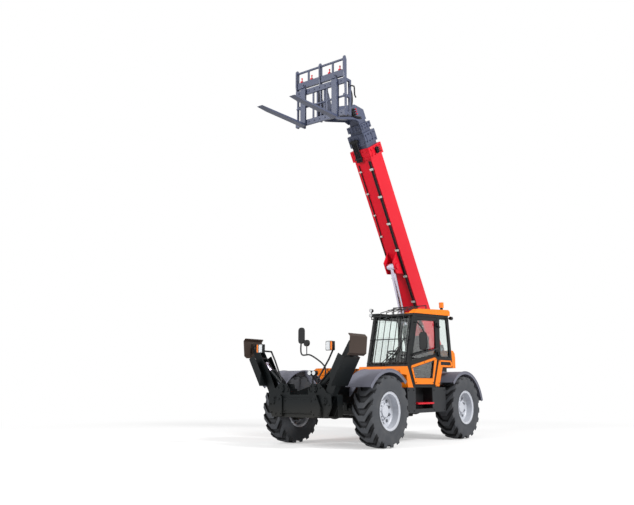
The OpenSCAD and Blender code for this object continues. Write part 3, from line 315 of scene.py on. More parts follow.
def facing(direction):
    """Three axes as columns: the third along a direction, the other two square to it."""
    third = unit(direction)
    first = unit(np.cross(np.eye(3)[np.argmin(np.abs(third))], third))
    return np.column_stack([first, np.cross(third, first), third])


def on_face(first, out):
    """Three axes as columns: the first along a face, the third out of it, and the second square to both."""
    return np.column_stack([first, np.cross(out, first), out])


def quads(rows, columns, loop=False):
    """Corner numbers of a grid's faces. The columns close on themselves, and looped rows do too."""
    row = np.arange(rows if loop else rows - 1)[:, None]
    column = np.arange(columns)[None, :]
    below, beside = (row + 1) % rows, (column + 1) % columns
    this, following = row * columns, below * columns
    corners = [this + column, this + beside, following + beside, following + column]
    return np.stack(corners, -1).reshape(-1, 4)


def capped(rings):
    """Rings of points as one closed skin: faces from ring to ring, and a fan to each end's middle."""
    rows, columns = rings.shape[:2]
    points = np.vstack([rings.reshape(-1, 3), rings[0].mean(0), rings[-1].mean(0)])
    column = np.arange(columns)
    beside = (column + 1) % columns
    last_ring = (rows - 1) * columns
    start = np.stack([np.full(columns, rows * columns), beside, column], -1)
    end = np.stack([np.full(columns, rows * columns + 1), last_ring + column, last_ring + beside], -1)
    return points, quads(rows, columns), np.vstack([start, end])


def joined(*shapes):
    """Several shapes as one: the points stacked, and the faces counted on from the points before."""
    starts = np.cumsum([0] + [len(shape[0]) for shape in shapes[:-1]])
    points = np.vstack([shape[0] for shape in shapes])
    faces = [np.vstack([shape[i] + start for shape, start in zip(shapes, starts)]) for i in (1, 2)]
    return points, faces[0], faces[1]


def copies(shape, places, axes=None):
    """One shape set at many places: each point turned by the axes there and moved to the place."""
    points, four, three = shape
    places = np.atleast_2d(np.asarray(places, float))
    axes = np.broadcast_to(np.eye(3) if axes is None else axes, (len(places), 3, 3))
    spread = np.einsum("nij,pj->npi", axes, points) + places[:, None]
    count = np.arange(len(places))[:, None, None] * len(points)
    return spread.reshape(-1, 3), (four + count).reshape(-1, 4), (three + count).reshape(-1, 3)


def circle(radius, sides=12):
    """An outline: radius times cos t and sin t."""
    t = np.arange(sides) * TURN / sides
    return radius * np.stack([np.cos(t), np.sin(t)], -1)


def rounded(width, height, corner):
    """An outline: quarter circles about the four points a corner's radius in from a rectangle's corners."""
    t = (np.arange(4)[:, None] + np.linspace(0, 1, CORNER_STEPS)[None, :]) * TURN / 4
    middle = np.stack([np.sign(np.cos(t.mean(1))), np.sign(np.sin(t.mean(1)))], -1)
    middle = middle * [width / 2 - corner, height / 2 - corner]
    return (middle[:, None] + corner * np.stack([np.cos(t), np.sin(t)], -1)).reshape(-1, 2)


def turned(profile, sides=24):
    """A profile of radius and height turned about z: radius times cos t and sin t, and the height."""
    radius, height = np.asarray(profile, float).T[:, :, None]
    t = np.arange(sides) * TURN / sides
    return capped(np.stack([radius * np.cos(t), radius * np.sin(t), height + 0 * t], -1))


def raised(outlines, heights):
    """Outlines laid one above the other as one closed skin."""
    rings = [np.column_stack([line, np.full(len(line), z)]) for line, z in zip(outlines, heights)]
    return capped(np.array(rings))


def slab(width, depth, height, corner, edge):
    """A rounded rectangle raised along z, with its rim set in by an edge at both faces."""
    outlines = [rounded(width - 2 * inset, depth - 2 * inset, corner) for inset in (edge, 0, 0, edge)]
    return raised(outlines, (0, edge, height - edge, height))


def topped(plate, top, spots):
    """A slab, given by its sizes, with one shape standing at spots on its top."""
    return joined(slab(*plate), copies(top, [(x, y, plate[2]) for x, y in spots]))


def carried(path, outline, loop=False):
    """An outline carried along a path: each of its points plus the outline in the plane square to it."""
    path = np.asarray(path, float)
    step = np.roll(path, -1, 0) - np.roll(path, 1, 0) if loop else np.gradient(path, axis=0)
    along = unit(step)
    helper = np.eye(3)[np.argmin(np.abs(along).max(0))]
    first = unit(helper - (along @ helper)[:, None] * along)
    second = np.cross(along, first)
    outline = np.broadcast_to(outline, (len(path),) + np.shape(outline)[-2:])
    rings = path[:, None] + outline[..., :1] * first[:, None] + outline[..., 1:] * second[:, None]
    if loop:
        return rings.reshape(-1, 3), quads(len(path), rings.shape[1], True), NO_TRIANGLES
    return capped(rings)


def smooth_path(corners):
    """A curve through the corners: in each span a cubic, whose slope at a corner is half the step between the
    corners on either side."""
    p = np.asarray(corners, float)
    longer = np.vstack([2 * p[0] - p[1], p, 2 * p[-1] - p[-2]])
    s = np.linspace(0, 1, SPAN_STEPS, endpoint=False)[None, :, None]
    a, b, c, d = (longer[i:len(p) - 1 + i, None, :] for i in range(4))
    bend = (2 * a - 5 * b + 4 * c - d) * s ** 2 + (3 * b - a - 3 * c + d) * s ** 3
    curve = b + (c - a) * s / 2 + bend / 2
    return np.vstack([curve.reshape(-1, 3), p[-1:]])


def tube(corners, radius):
    """A round bar or hose on the smooth path through the corners."""
    return carried(smooth_path(corners), circle(radius))


def rounded_loop(corners, reach):
    """A closed path with eased corners: at each a parabola between the points a reach away on both sides."""
    p = np.asarray(corners, float)
    start = p + reach * unit(np.roll(p, 1, 0) - p)
    end = p + reach * unit(np.roll(p, -1, 0) - p)
    s = np.linspace(0, 1, BEND_STEPS)[None, :, None]
    curve = (1 - s) ** 2 * start[:, None] + 2 * s * (1 - s) * p[:, None] + s ** 2 * end[:, None]
    return curve.reshape(-1, 3)


def both_sides(x, spots):
    """Places at one distance forward, on the left and mirrored to the right; spots run across and up."""
    return [(x, side * y, z) for side in (1, -1) for y, z in spots]


def bolt(across):
    """A hexagon head with a dished top on a round washer, sized by its width across the flats."""
    washer = turned([(across * 0.95, 0), (across * 0.95, across * 0.12)], 12)
    corner = across * 0.577
    head = turned([(corner, across * 0.1), (corner, across * 0.6), (across * 0.48, across * 0.7)], 6)
    return joined(washer, head)


SHARP_ANGLE = math.radians(35)


def put(name, shape, body, coat, slot=None):
    """Makes a shape a piece that rides on a body, smooth but for its sharp edges. Its coat is a slot's name, or a
    material; the slot argument is not used."""
    if isinstance(coat, str):
        coat, slot = finish[coat], coat
    points, four, three = shape
    mesh = bpy.data.meshes.new(name)
    mesh.from_pydata(points.tolist(), [], four.tolist() + three.tolist())
    mesh.shade_smooth()
    mesh.set_sharp_from_angle(angle=SHARP_ANGLE)
    mesh.materials.append(coat)
    piece = bpy.data.objects.new(name, mesh)
    scene.collection.objects.link(piece)
    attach(piece, body)
    return piece


# Tyres: the solid's rings and lugs with eased edges, bowed side walls and a rim guard rib

LUGS, LUG_HEIGHT, LUG_SWEEP = 18, 0.038, 0.85
PITCH = TURN / LUGS
LUG_TOP, LUG_FOOT = 0.20, 0.29
MIDDLE_BAND, SHOULDER = 0.060, 0.190
# Half a section from the bead to the shoulder: distance from the middle, radius, and the lug's height
WALL_ROWS = [(0.157, 0.308, 0), (0.168, 0.314, 0), (0.178, 0.328, 0), (0.184, 0.344, 0), (0.190, 0.351, 0),
             (0.192, 0.359, 0), (0.189, 0.367, 0), (0.192, 0.385, 0), (0.196, 0.410, 0), (0.199, 0.440, 0),
             (0.200, 0.470, 0), (0.200, 0.500, 0), (0.1995, 0.516, 0), (0.199, 0.528, 0.006),
             (0.197, 0.541, 0.024), (0.1945, 0.552, 0.038)]
CROWN_FALL, LUG_FALL = 0.022, 0.0044
TREAD_SHARES = np.array([1.0, 0.97, 0.9, 0.75, 0.6, 0.45, 0.3, 0.15, 0.06, 0.0])
LUG_COLUMNS = np.array([0, 0.07, 0.14, 0.19, 0.205, 0.222, 0.245, 0.268, 0.285, 0.30, 0.36, 0.43])


def tyre_skin(centre, radius):
    """Rings round the axle from bead to bead. A ring's radius is the casing's plus a share of the lug's
    height, at the angle less the ring's sweep: one on a lug's flat top, nought in a groove, eased between."""
    casing = radius - LUG_HEIGHT
    tread = np.column_stack([MIDDLE_BAND + (SHOULDER - MIDDLE_BAND) * TREAD_SHARES,
                             casing - CROWN_FALL * TREAD_SHARES, LUG_HEIGHT + LUG_FALL * TREAD_SHARES])
    half = np.vstack([WALL_ROWS, tread, [0.03, casing, LUG_HEIGHT], [0.0, casing, LUG_HEIGHT]])
    rows = np.vstack([half * [-1, 1, 1], half[-2::-1]])
    place, base, lug = rows.T[:, :, None]
    sweep = LUG_SWEEP * np.clip((np.abs(place) - MIDDLE_BAND) / (SHOULDER - MIDDLE_BAND), 0, 1)
    share = np.concatenate([[-0.5], -LUG_COLUMNS[:0:-1], LUG_COLUMNS])
    rise = np.clip((LUG_FOOT - np.abs(share)) / (LUG_FOOT - LUG_TOP), 0, 1)
    rise = rise ** 2 * (3 - 2 * rise)
    flat_top = (base + lug) / np.cos(share * PITCH) - base
    ring_radius = np.tile(base + np.where(lug > 0, rise * flat_top, 0), LUGS)
    angle = TURN / 4 + PITCH * ((np.arange(LUGS)[:, None] + share).ravel() - sweep)
    points = np.stack([ring_radius * np.cos(angle), place + 0 * angle, -ring_radius * np.sin(angle)], -1)
    return (points + centre).reshape(-1, 3), quads(len(rows), angle.shape[1], True), NO_TRIANGLES


WHEELS = {"fl": "front_left", "fr": "front_right", "rl": "rear_left", "rr": "rear_right"}
# Nuts and cap bolts: how many, their ring's radius, their face's distance out, their width across the flats
WHEEL_HEADS = [(10, 0.205, 0.033, 0.034), (8, 0.124, 0.065, 0.018)]
VALVE_RING, VALVE_FACE = 0.268, 0.045
LIP_RING, LIP_FACE, LIP_STEPS = 0.327, 0.1855, 72
valve = turned([(0.010, 0), (0.010, 0.01), (0.006, 0.014), (0.006, 0.045), (0.008, 0.047),
                (0.007, 0.060)], 12)


def ring_of_places(centre, outwards, ring, face, count):
    """Places round an axle: the ring's radius times cos t and sin t, a face's distance out; with the axes."""
    axes = facing(outwards)
    t = np.arange(count) * TURN / count
    return centre + np.stack([ring * np.cos(t), ring * np.sin(t), face + 0 * t], -1) @ axes.T, axes


for short, long in WHEELS.items():
    centre = np.array(joint["spin_" + long]["pos_m"])
    outwards = np.array([0, np.sign(centre[1]), 0])
    body = "wheel_" + long
    skin = put("lugged_tyre_" + short, tyre_skin(centre, centre[2]), body, "tyre_rubber")
    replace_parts(skin, "tyre_" + short)
    heads = [copies(bolt(across), *ring_of_places(centre, outwards, ring, face, count))
             for count, ring, face, across in WHEEL_HEADS]
    stem = copies(valve, *ring_of_places(centre, outwards, VALVE_RING, VALVE_FACE, 1))
    put("wheel_nuts_" + short, joined(*heads, stem), body, zinc_finish)
    t = np.linspace(0, TURN, LIP_STEPS, endpoint=False)
    across = outwards[1] * LIP_FACE + 0 * t
    lip = centre + np.stack([LIP_RING * np.cos(t), across, LIP_RING * np.sin(t)], -1)
    put("rim_lip_" + short, carried(lip, circle(0.006, 8), loop=True), body, "silver_paint")


# Boom: bolts and wear pad covers on the collars, lines under the outer section, hoses on the second stage

PIVOT = np.array(joint["boom_lift"]["pos_m"])
ALONG = np.array(joint["stage_2_slide"]["axis"])
BOOM_UP = np.cross(ALONG, LEFT)
BOOM_AXES = np.column_stack([ALONG, LEFT, BOOM_UP])
LEFT_CHEEK, RIGHT_CHEEK, BELLY = on_face(ALONG, LEFT), on_face(ALONG, -LEFT), on_face(ALONG, -BOOM_UP)


def on_boom(places):
    """Places given along, across and square to the boom from its pivot, set in the machine's frame."""
    return PIVOT + np.asarray(places, float) @ BOOM_AXES.T


BOLT_SHARES, COVER_SHARES = (-0.36, -0.12, 0.12, 0.36), (-0.24, 0.24)


def four_faces(u_places, width, height):
    """Bolt places on a collar's four faces, at each distance along and each share across; with the axes."""
    rows = [(u, share) for u in u_places for share in BOLT_SHARES]
    cheeks = [(u, side * width / 2, share * height) for side in (1, -1) for u, share in rows]
    flats = [(u, share * width, side * height / 2) for side in (1, -1) for u, share in rows]
    axes = [facing(way) for way in (LEFT, -LEFT, BOOM_UP, -BOOM_UP)]
    return on_boom(cheeks + flats), np.repeat(axes, len(rows), axis=0)


COLLARS = {"boom": ((4.69, 4.82), 0.460, 0.540), "stage_2": ((4.99, 5.125), 0.402, 0.474),
           "stage_3": ((5.27, 5.33), 0.344, 0.408)}
for body, (u_places, width, height) in COLLARS.items():
    coat = "red_paint" if body == "boom" else "blue_grey_paint"
    put("collar_bolts_" + body, copies(bolt(0.030), *four_faces(u_places, width, height)), body, coat)
    cover = slab(0.9 * (u_places[1] - u_places[0]), 0.10, 0.008, 0.008, 0.002)
    middle = sum(u_places) / 2
    pads = [(middle, side * width / 2, share * height) for side in (1, -1) for share in COVER_SHARES]
    pad_axes = np.repeat([LEFT_CHEEK, RIGHT_CHEEK], len(COVER_SHARES), axis=0)
    put("wear_pad_covers_" + body, copies(cover, on_boom(pads), pad_axes), body, coat)

UNDER = -0.240
LINE_R, LINE_V = 0.011, UNDER - 0.016
OUTER_LANE, INNER_LANE, LANE_CHANGE = -0.172, -0.128, 2.8
line = [(0.80, OUTER_LANE, UNDER + 0.004), (0.86, OUTER_LANE, LINE_V), (1.2, OUTER_LANE, LINE_V),
        (2.75, OUTER_LANE, LINE_V), (2.95, -0.150, LINE_V), (3.15, INNER_LANE, LINE_V),
        (4.44, INNER_LANE, LINE_V), (4.50, INNER_LANE, UNDER - 0.012), (4.54, INNER_LANE, UNDER + 0.006)]
put("boom_line_right", tube(on_boom(line), LINE_R), "boom", "hose_rubber")
saddle = topped((0.036, 0.05, 0.034, 0.008, 0.003), bolt(0.014), [(0, 0.018), (0, -0.018)])
saddle_at = [(u, OUTER_LANE if u < LANE_CHANGE else INNER_LANE, UNDER) for u in np.arange(0.98, 4.5, 0.49)]
put("boom_line_clips", copies(saddle, on_boom(saddle_at), BELLY), "boom", clip_finish)
strap = topped((0.046, 0.09, 0.004, 0.004, 0.001), bolt(0.012), [(0, 0.034), (0, -0.034)])
strap_at = [(u + 0.022, 0.156, UNDER - 0.040) for u in np.arange(0.74, 4.43, 0.61)]
put("boom_pipe_straps", copies(strap, on_boom(strap_at), BELLY), "boom", clip_finish)

HOSE_U, HOSE_Y, HOSE_V = np.linspace(4.62, 5.10, 12), (-0.105, -0.068, -0.031, 0.006), -0.292
hoses = [carried(on_boom([(u, y, HOSE_V) for u in HOSE_U]), circle(0.015)) for y in HOSE_Y]
put("tray_hoses", joined(*hoses), "stage_2", "hose_rubber")
clamps = joined(copies(slab(0.05, 0.19, 0.075, 0.01, 0.003), on_boom([(5.06, -0.05, -0.236)]), BELLY),
                copies(slab(0.03, 0.18, 0.046, 0.008, 0.003), on_boom([(4.70, -0.05, -0.272)]), BELLY))
put("tray_clamps", clamps, "stage_2", "black_plastic")

# On the left of the outer collar: a ported block with capped unions
union = turned([(0.014, 0), (0.014, 0.018), (0.010, 0.020), (0.010, 0.034), (0.013, 0.036), (0.013, 0.052),
                (0.008, 0.056)], 12)
block = topped((0.13, 0.08, 0.05, 0.01, 0.003), union, [(-0.035, 0), (0.005, 0), (0.045, 0)])
put("collar_port_block", copies(block, on_boom([(4.755, 0.231, 0.0)]), LEFT_CHEEK), "boom", "black_plastic")


# Pins: keepers with grease nipples on the boom's and lift cylinder's pins; that cylinder's gland and pipe

nipple = turned([(0.007, 0), (0.007, 0.006), (0.004, 0.008), (0.004, 0.014), (0.005, 0.016),
                 (0.003, 0.020)], 8)
keeper = joined(topped((0.13, 0.045, 0.010, 0.012, 0.002), bolt(0.020), [(-0.045, 0), (0.045, 0)]),
                copies(nipple, [(0, 0, 0.01)]))
TOWER_OUT, PIN_HEAD = 0.285, 0.012
LIFT_BASE = np.array(joint["lift_cylinder_swing"]["pos_m"])
leftward, rightward, forward, rearward = (facing(way) for way in (LEFT, -LEFT, FORWARD, -FORWARD))
pin_places = [pin + side * (TOWER_OUT + PIN_HEAD) * LEFT for pin in (PIVOT, LIFT_BASE) for side in (1, -1)]
pin_axes = np.array(2 * [leftward, rightward])
put("boom_pin_keepers", copies(keeper, pin_places, pin_axes), "chassis", zinc_finish)
HEAD_PIN = np.array(joint["carriage_tilt"]["pos_m"])
HEAD_CHEEK = 0.138
head_places = HEAD_PIN + both_sides(0, [(HEAD_CHEEK, 0.06)])
put("head_pin_keepers", copies(keeper, head_places, np.array([leftward, rightward])), "stage_4", zinc_finish)

LIFT_AXIS = np.array(joint["lift_piston_slide"]["axis"])
LIFT_SIDE = np.cross(LIFT_AXIS, LEFT)
GLAND_AT = 1.335
gland = turned([(0.094, 0), (0.094, 0.030), (0.088, 0.034), (0.088, 0.048), (0.072, 0.056),
                (0.058, 0.058)], 32)
put("lift_gland", copies(gland, [LIFT_BASE + GLAND_AT * LIFT_AXIS], facing(LIFT_AXIS)), "lift_cylinder",
    "charcoal_paint")
# The pipe's corners: distance along the cylinder from its base pin, and out from its middle
PIPE = ((0.16, 0.085), (0.17, 0.104), (0.24, 0.108), (0.7, 0.108), (1.2, 0.108), (1.27, 0.104), (1.28, 0.085))
pipe = [LIFT_BASE + s * LIFT_AXIS - out * LIFT_SIDE for s, out in PIPE]
put("lift_pipe", tube(pipe, 0.009), "lift_cylinder", "black_plastic")


# Front frame: blank beam plate with a raised border, its bolts, and keepers on the stabilisers' pins

FRONT_FACE = 2.324
BEAM_FACE, CORNER_FACE, STAB_PIN_HEAD = FRONT_FACE + 0.030, FRONT_FACE + 0.060, FRONT_FACE + 0.014
BORDER_Y, BORDER_Z = 0.318, (0.602, 0.828)
border = [(BEAM_FACE + 0.002, y, z) for y, z in ((-BORDER_Y, BORDER_Z[0]), (BORDER_Y, BORDER_Z[0]),
                                                 (BORDER_Y, BORDER_Z[1]), (-BORDER_Y, BORDER_Z[1]))]
put("beam_border", carried(rounded_loop(border, 0.015), rounded(0.008, 0.006, 0.002), loop=True), "chassis",
    "charcoal_paint")
beam_bolts = [(BEAM_FACE, y, z) for y in (-0.29, 0.29) for z in (0.63, 0.80)]
corner_bolts = both_sides(CORNER_FACE, [(0.36, 0.58), (0.47, 0.58), (0.40, 0.83)])
plate_bolts = both_sides(FRONT_FACE, [(0.62, 0.60), (0.64, 0.74), (0.26, 0.96), (0.26, 1.04), (0.46, 1.02)])
put("front_frame_bolts", copies(bolt(0.024), beam_bolts + corner_bolts + plate_bolts, forward), "chassis",
    "charcoal_paint")
stab_keepers = both_sides(STAB_PIN_HEAD, [(0.550, 0.800), (0.360, 1.000)])
put("stabiliser_pin_keepers", copies(keeper, stab_keepers, forward), "chassis", "charcoal_paint")


# Stabilisers: a hose in its wound guard along each cylinder, and the rod's gland

STAB_X = 2.222
BARREL_R, STAB_GLAND_AT = 0.040, 0.438
GUARD_TURNS, GUARD_R, GUARD_RIPPLE = 26, 0.017, 0.16
GUARD_FROM, GUARD_LENGTH, GUARD_LIFT = 0.07, 0.37, 0.026
stab_gland = turned([(0.044, 0), (0.044, 0.022), (0.040, 0.026), (0.040, 0.034), (0.028, 0.040)], 24)
for side, word in ((1, "left"), (-1, "right")):
    base = np.array(joint[f"stabiliser_{word}_swing"]["pos_m"]) * [0, 1, 1] + [STAB_X, 0, 0]
    axis = np.array(joint[f"stabiliser_{word}_piston"]["axis"])
    inner = np.cross(side * FORWARD, axis)
    body = "stabiliser_cylinder_" + word
    steps = np.linspace(0, 1, 8 * GUARD_TURNS + 1)
    lift = GUARD_LIFT * np.clip(np.minimum(steps, 1 - steps) / 0.08, 0, 1)
    along, out = GUARD_FROM + GUARD_LENGTH * steps, BARREL_R - 0.004 + lift
    route = base + np.outer(along, axis) + np.outer(out, inner)
    ripple = 1 + GUARD_RIPPLE * np.sin(GUARD_TURNS * TURN * steps)
    wound = carried(route, ripple[:, None, None] * circle(GUARD_R))
    put("wound_hose_guard_" + word, wound, body, "hose_rubber")
    put("stabiliser_gland_" + word, copies(stab_gland, [base + STAB_GLAND_AT * axis], facing(axis)), body,
        "black_plastic")


# Carriage: red stops on the deep beam, latches on the forks, bolts, a lever and pipes behind its left side

stop_pin = turned([(0.011, 0), (0.011, 0.05), (0.016, 0.052), (0.016, 0.068), (0.010, 0.072)], 12)
stop = topped((0.06, 0.05, 0.03, 0.008, 0.003), stop_pin, [(0, 0)])
stop_at = HEAD_PIN + both_sides(0.31, [(0.22, 0.69), (0.47, 0.69)])
put("carriage_stops", copies(stop, stop_at), "fork_carriage", "red_paint")
FORK_PITCH_HALF, HOOK_TOP = 0.385, 0.02
hook_at = HEAD_PIN + both_sides(0.372, [(FORK_PITCH_HALF, 0.52)])
latch = turned([(0.016, 0), (0.016, 0.012), (0.010, 0.014), (0.010, 0.05), (0.018, 0.052), (0.018, 0.066),
                (0.012, 0.07)], 16)
put("fork_latches", joined(copies(slab(0.10, 0.07, HOOK_TOP, 0.008, 0.003), hook_at),
                           copies(latch, hook_at + HOOK_TOP * UP)), "fork_carriage", "blue_grey_paint")
carriage_bolts = [HEAD_PIN + [0.350, y, z] for z in (-0.185, 0.455) for y in np.linspace(-0.52, 0.52, 9)]
put("carriage_bolts", copies(bolt(0.022), carriage_bolts, forward), "fork_carriage", "blue_grey_paint")
lever = HEAD_PIN + [(0.13, 0.565, 0.40), (0.11, 0.59, 0.42), (0.04, 0.60, 0.43), (0.02, 0.60, 0.40),
                    (0.01, 0.60, 0.27), (-0.03, 0.60, 0.22)]
PIPE_XZ = ((0.10, 0.36), (0.05, 0.33), (0.02, 0.22), (0.03, 0.08), (0.09, -0.02))
carriage_pipes = [tube(HEAD_PIN + [(x, y, z) for x, z in PIPE_XZ], 0.012) for y in (0.52, 0.55)]
put("carriage_lever", joined(tube(lever, 0.014), *carriage_pipes), "fork_carriage", "hose_rubber")

# A bored block with red-capped unions, and pipes, on the head's left cheek
PORTS, PORT_U, PORT_V = (-0.05, 0.0, 0.05), 5.66, -0.30
head_block = topped((0.16, 0.09, 0.045, 0.01, 0.003), union, [(u, 0) for u in PORTS])
put("head_port_block", copies(head_block, on_boom([(PORT_U, HEAD_CHEEK, PORT_V)]), LEFT_CHEEK), "stage_4",
    "black_plastic")
cap = turned([(0.016, 0), (0.016, 0.014), (0.012, 0.018)], 12)
cap_at = on_boom([(PORT_U + u, HEAD_CHEEK + 0.098, PORT_V) for u in PORTS])
put("head_port_caps", copies(cap, cap_at, leftward), "stage_4", "red_paint")
# The pipes' corners: along the boom, out from the cheek, and square to the boom
HEAD_PIPE = np.array([(5.47, 0.014, -0.04), (5.52, 0.016, -0.20), (5.60, 0.016, -0.36), (5.66, 0.016, -0.60),
                      (5.70, 0.014, -0.78)])
head_pipes = [tube(on_boom(HEAD_PIPE + [u, HEAD_CHEEK, 0]), 0.010) for u in (0.0, 0.03)]
put("head_pipes", joined(*head_pipes), "stage_4", "hose_rubber")


# Cab: window seals, wiper, door rail and handle, mirrors and lamp rims

LEFT_FACE, RIGHT_FACE = 1.100, 0.200
SEAL_IN, WINDOW_INSET = 0.010, 0.006
SEAL = rounded(0.020, 0.016, 0.006)
SILL, BROW = np.array([0.550, 1.400]), np.array([0.276, 2.396])
REAR_TOP, REAR_LOW = np.array([-1.080, 2.440]), np.array([-1.200, 1.500])


def side_loop(corners, y):
    """A window's outline on a side face: corners forward and up, drawn a little to their middle."""
    p = np.asarray(corners, float)
    p = p + WINDOW_INSET * math.sqrt(2) * unit(p.mean(0) - p)
    return rounded_loop([(x, y, z) for x, z in p], 0.05)


def slope_loop(low, high, shares, inwards):
    """A window's outline on a sloping face: at two shares of the way up from its low edge, set inwards."""
    sill, brow = (low + share * (high - low) + inwards for share in shares)
    right, left = RIGHT_FACE + 0.062, LEFT_FACE - 0.062
    corners = ((sill, right), (sill, left), (brow, left), (brow, right))
    return rounded_loop([(edge[0], y, edge[1]) for edge, y in corners], 0.06)


def seals(loops):
    """A rubber section carried round each window's outline."""
    return joined(*(carried(loop, SEAL, loop=True) for loop in loops))


DOOR_UPPER = [(0.400, 1.500), (0.160, 2.282), (-0.545, 2.308), (-0.545, 1.640), (-0.500, 1.640)]
DOOR_LOWER = [(0.300, 1.190), (0.372, 1.380), (-0.455, 1.540), (-0.365, 1.190)]
QUARTER = [(-0.700, 1.600), (-0.700, 2.360), (-1.010, 2.365), (-1.110, 1.600)]
SIDE_WINDOW = [(0.120, 1.450), (0.405, 1.450), (0.176, 2.325), (-0.610, 2.352), (-0.610, 1.450)]
fixed_loops = [side_loop(QUARTER, LEFT_FACE - SEAL_IN),
               side_loop(QUARTER, RIGHT_FACE + SEAL_IN),
               side_loop(SIDE_WINDOW, RIGHT_FACE + SEAL_IN),
               slope_loop(SILL, BROW, (0.057, 0.953), np.array([-0.010, -0.003])),
               slope_loop(REAR_LOW, REAR_TOP, (0.127, 0.943), np.array([0.010, -0.001]))]
put("window_seals", seals(fixed_loops), "chassis", seal_finish)
door_loops = [side_loop(corners, LEFT_FACE - SEAL_IN) for corners in (DOOR_UPPER, DOOR_LOWER)]
put("door_seals", seals(door_loops), "cab_door", seal_finish)

SCREEN_OUT = unit([0.996, 0, 0.274])


def on_screen(y, share, out):
    """A place on the windscreen: a share of its height, and a distance out from its face."""
    x, z = SILL + share * (BROW - SILL)
    return np.array([x, y, z]) + out * SCREEN_OUT


WIPER_OUT, GLASS_OUT = 0.012, -0.006
SPINDLE_Y, SPINDLE_SHARE = (0.52, 0.585), 0.035
# An arm's corners: across from its spindle, the share of the screen's height, and the distance out
ARM = ((0, SPINDLE_SHARE, WIPER_OUT - 0.004), (0, 0.05, WIPER_OUT), (0.18, 0.20, WIPER_OUT),
       (0.34, 0.36, WIPER_OUT))
arm_bar = rounded(0.010, 0.014, 0.003)
arms = [carried([on_screen(y + across, share, out) for across, share, out in ARM], arm_bar)
        for y in SPINDLE_Y]
blade_path = [on_screen(0.80 + 0.16 * s, 0.24 + 0.30 * s, GLASS_OUT) for s in np.linspace(-0.6, 1, 12)]
blade = carried(blade_path, rounded(0.012, 0.020, 0.004))
spindle = turned([(0.022, 0), (0.022, 0.02), (0.014, 0.026), (0.014, 0.036), (0.008, 0.040)], 16)
spindles = copies(spindle, [on_screen(y, SPINDLE_SHARE, GLASS_OUT) for y in SPINDLE_Y], facing(SCREEN_OUT))
put("windscreen_wiper", joined(*arms, blade, spindles), "chassis", "black_plastic")

# Corners from the door's face: forward, out and up
RAIL = np.array([(0.385, 0.001, 1.606), (0.380, 0.030, 1.607), (0.350, 0.048, 1.612), (0.10, 0.048, 1.655),
                 (-0.25, 0.048, 1.715), (-0.500, 0.048, 1.758), (-0.545, 0.030, 1.766),
                 (-0.552, 0.001, 1.767)])
put("door_rail", tube(RAIL + LEFT_FACE * LEFT, 0.015), "cab_door", "black_plastic")
HANDLE = np.array([(0.345, 0.001, 1.545), (0.340, 0.026, 1.545), (0.318, 0.032, 1.546), (0.262, 0.032, 1.556),
                   (0.240, 0.026, 1.560), (0.235, 0.001, 1.561)])
handle = carried(smooth_path(HANDLE + LEFT_FACE * LEFT), rounded(0.020, 0.012, 0.005))
put("door_handle", handle, "cab_door", "black_plastic")

MIRROR_Y, SMALL_Y, SMALL_Z = 1.400, -1.222, 1.900
COVER_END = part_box("engine_cover")[1].x
LEFT_X, RIGHT_X = 0.480, COVER_END - 0.050
ahead, backwards = on_face(LEFT, FORWARD), on_face(UP, -FORWARD)
TALL_AT = np.array([(LEFT_X, MIRROR_Y, 1.850), (RIGHT_X, -MIRROR_Y, 2.060)])
SMALL_AT = np.array([(COVER_END, SMALL_Y, SMALL_Z)])
left_arm = tube([(0.300, LEFT_FACE - 0.005, 2.220), (0.300, LEFT_FACE + 0.060, 2.220),
                 (0.420, LEFT_FACE + 0.150, 2.200), (LEFT_X, MIRROR_Y, 2.060),
                 (LEFT_X, MIRROR_Y, 1.900)], 0.014)
right_arm = tube([(COVER_END, -0.720, 1.150), (COVER_END + 0.070, -0.720, 1.150),
                  (COVER_END + 0.060, -0.720, 1.420), (COVER_END + 0.040, -1.080, 1.650),
                  (RIGHT_X, -MIRROR_Y, 1.690), (RIGHT_X, -MIRROR_Y, 2.050)], 0.016)
post = carried([(COVER_END, SMALL_Y, z) for z in (1.660, 1.760, 1.860)], circle(0.010))
mirrors = joined(copies(slab(0.160, 0.330, 0.040, 0.062, 0.010), TALL_AT - 0.020 * FORWARD, ahead),
                 copies(slab(0.150, 0.130, 0.040, 0.055, 0.010), SMALL_AT - 0.020 * FORWARD, ahead),
                 left_arm, right_arm, post)
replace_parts(put("rounded_mirrors", mirrors, "chassis", "black_plastic"), "mirrors")
glass = joined(copies(slab(0.30, 0.135, 0.006, 0.05, 0.002), TALL_AT - 0.018 * FORWARD, backwards),
               copies(slab(0.11, 0.125, 0.006, 0.045, 0.002), SMALL_AT - 0.018 * FORWARD, backwards))
put("mirror_glass", glass, "chassis", mirror_finish)

LAMP_FACE, LAMP_Y, LAMP_Z = 2.484, 0.775, 1.700
RIM_CORNERS = ((-0.066, -0.072), (0.066, -0.072), (0.066, 0.072), (-0.066, 0.072))
ROUND_LAMPS = [(2.322, 0.240, 1.265), (2.322, 0.330, 1.265)]
ROOF_LAMPS = [(0.247, 0.120, 2.405), (0.247, 0.120, 2.500)]
rims = []
for side in (1, -1):
    y = side * LAMP_Y
    loop = rounded_loop([(LAMP_FACE, y + across, LAMP_Z + up) for across, up in RIM_CORNERS], 0.012)
    rims.append(carried(loop, rounded(0.012, 0.014, 0.004), loop=True))
    divider = slab(0.013, 0.136, 0.014, 0.004, 0.002)
    rims.append(copies(divider, [(LAMP_FACE - 0.003, y + side * 0.023, LAMP_Z)], ahead))
ring_rim = turned([(0.036, 0), (0.042, 0.002), (0.042, 0.014), (0.038, 0.016), (0.037, 0.010)], 24)
small_rim = (ring_rim[0] * [0.85, 0.85, 1], *ring_rim[1:])
rims += [copies(ring_rim, ROUND_LAMPS, forward), copies(small_rim, ROOF_LAMPS, forward)]
put("lamp_rims", joined(*rims), "chassis", "black_plastic")


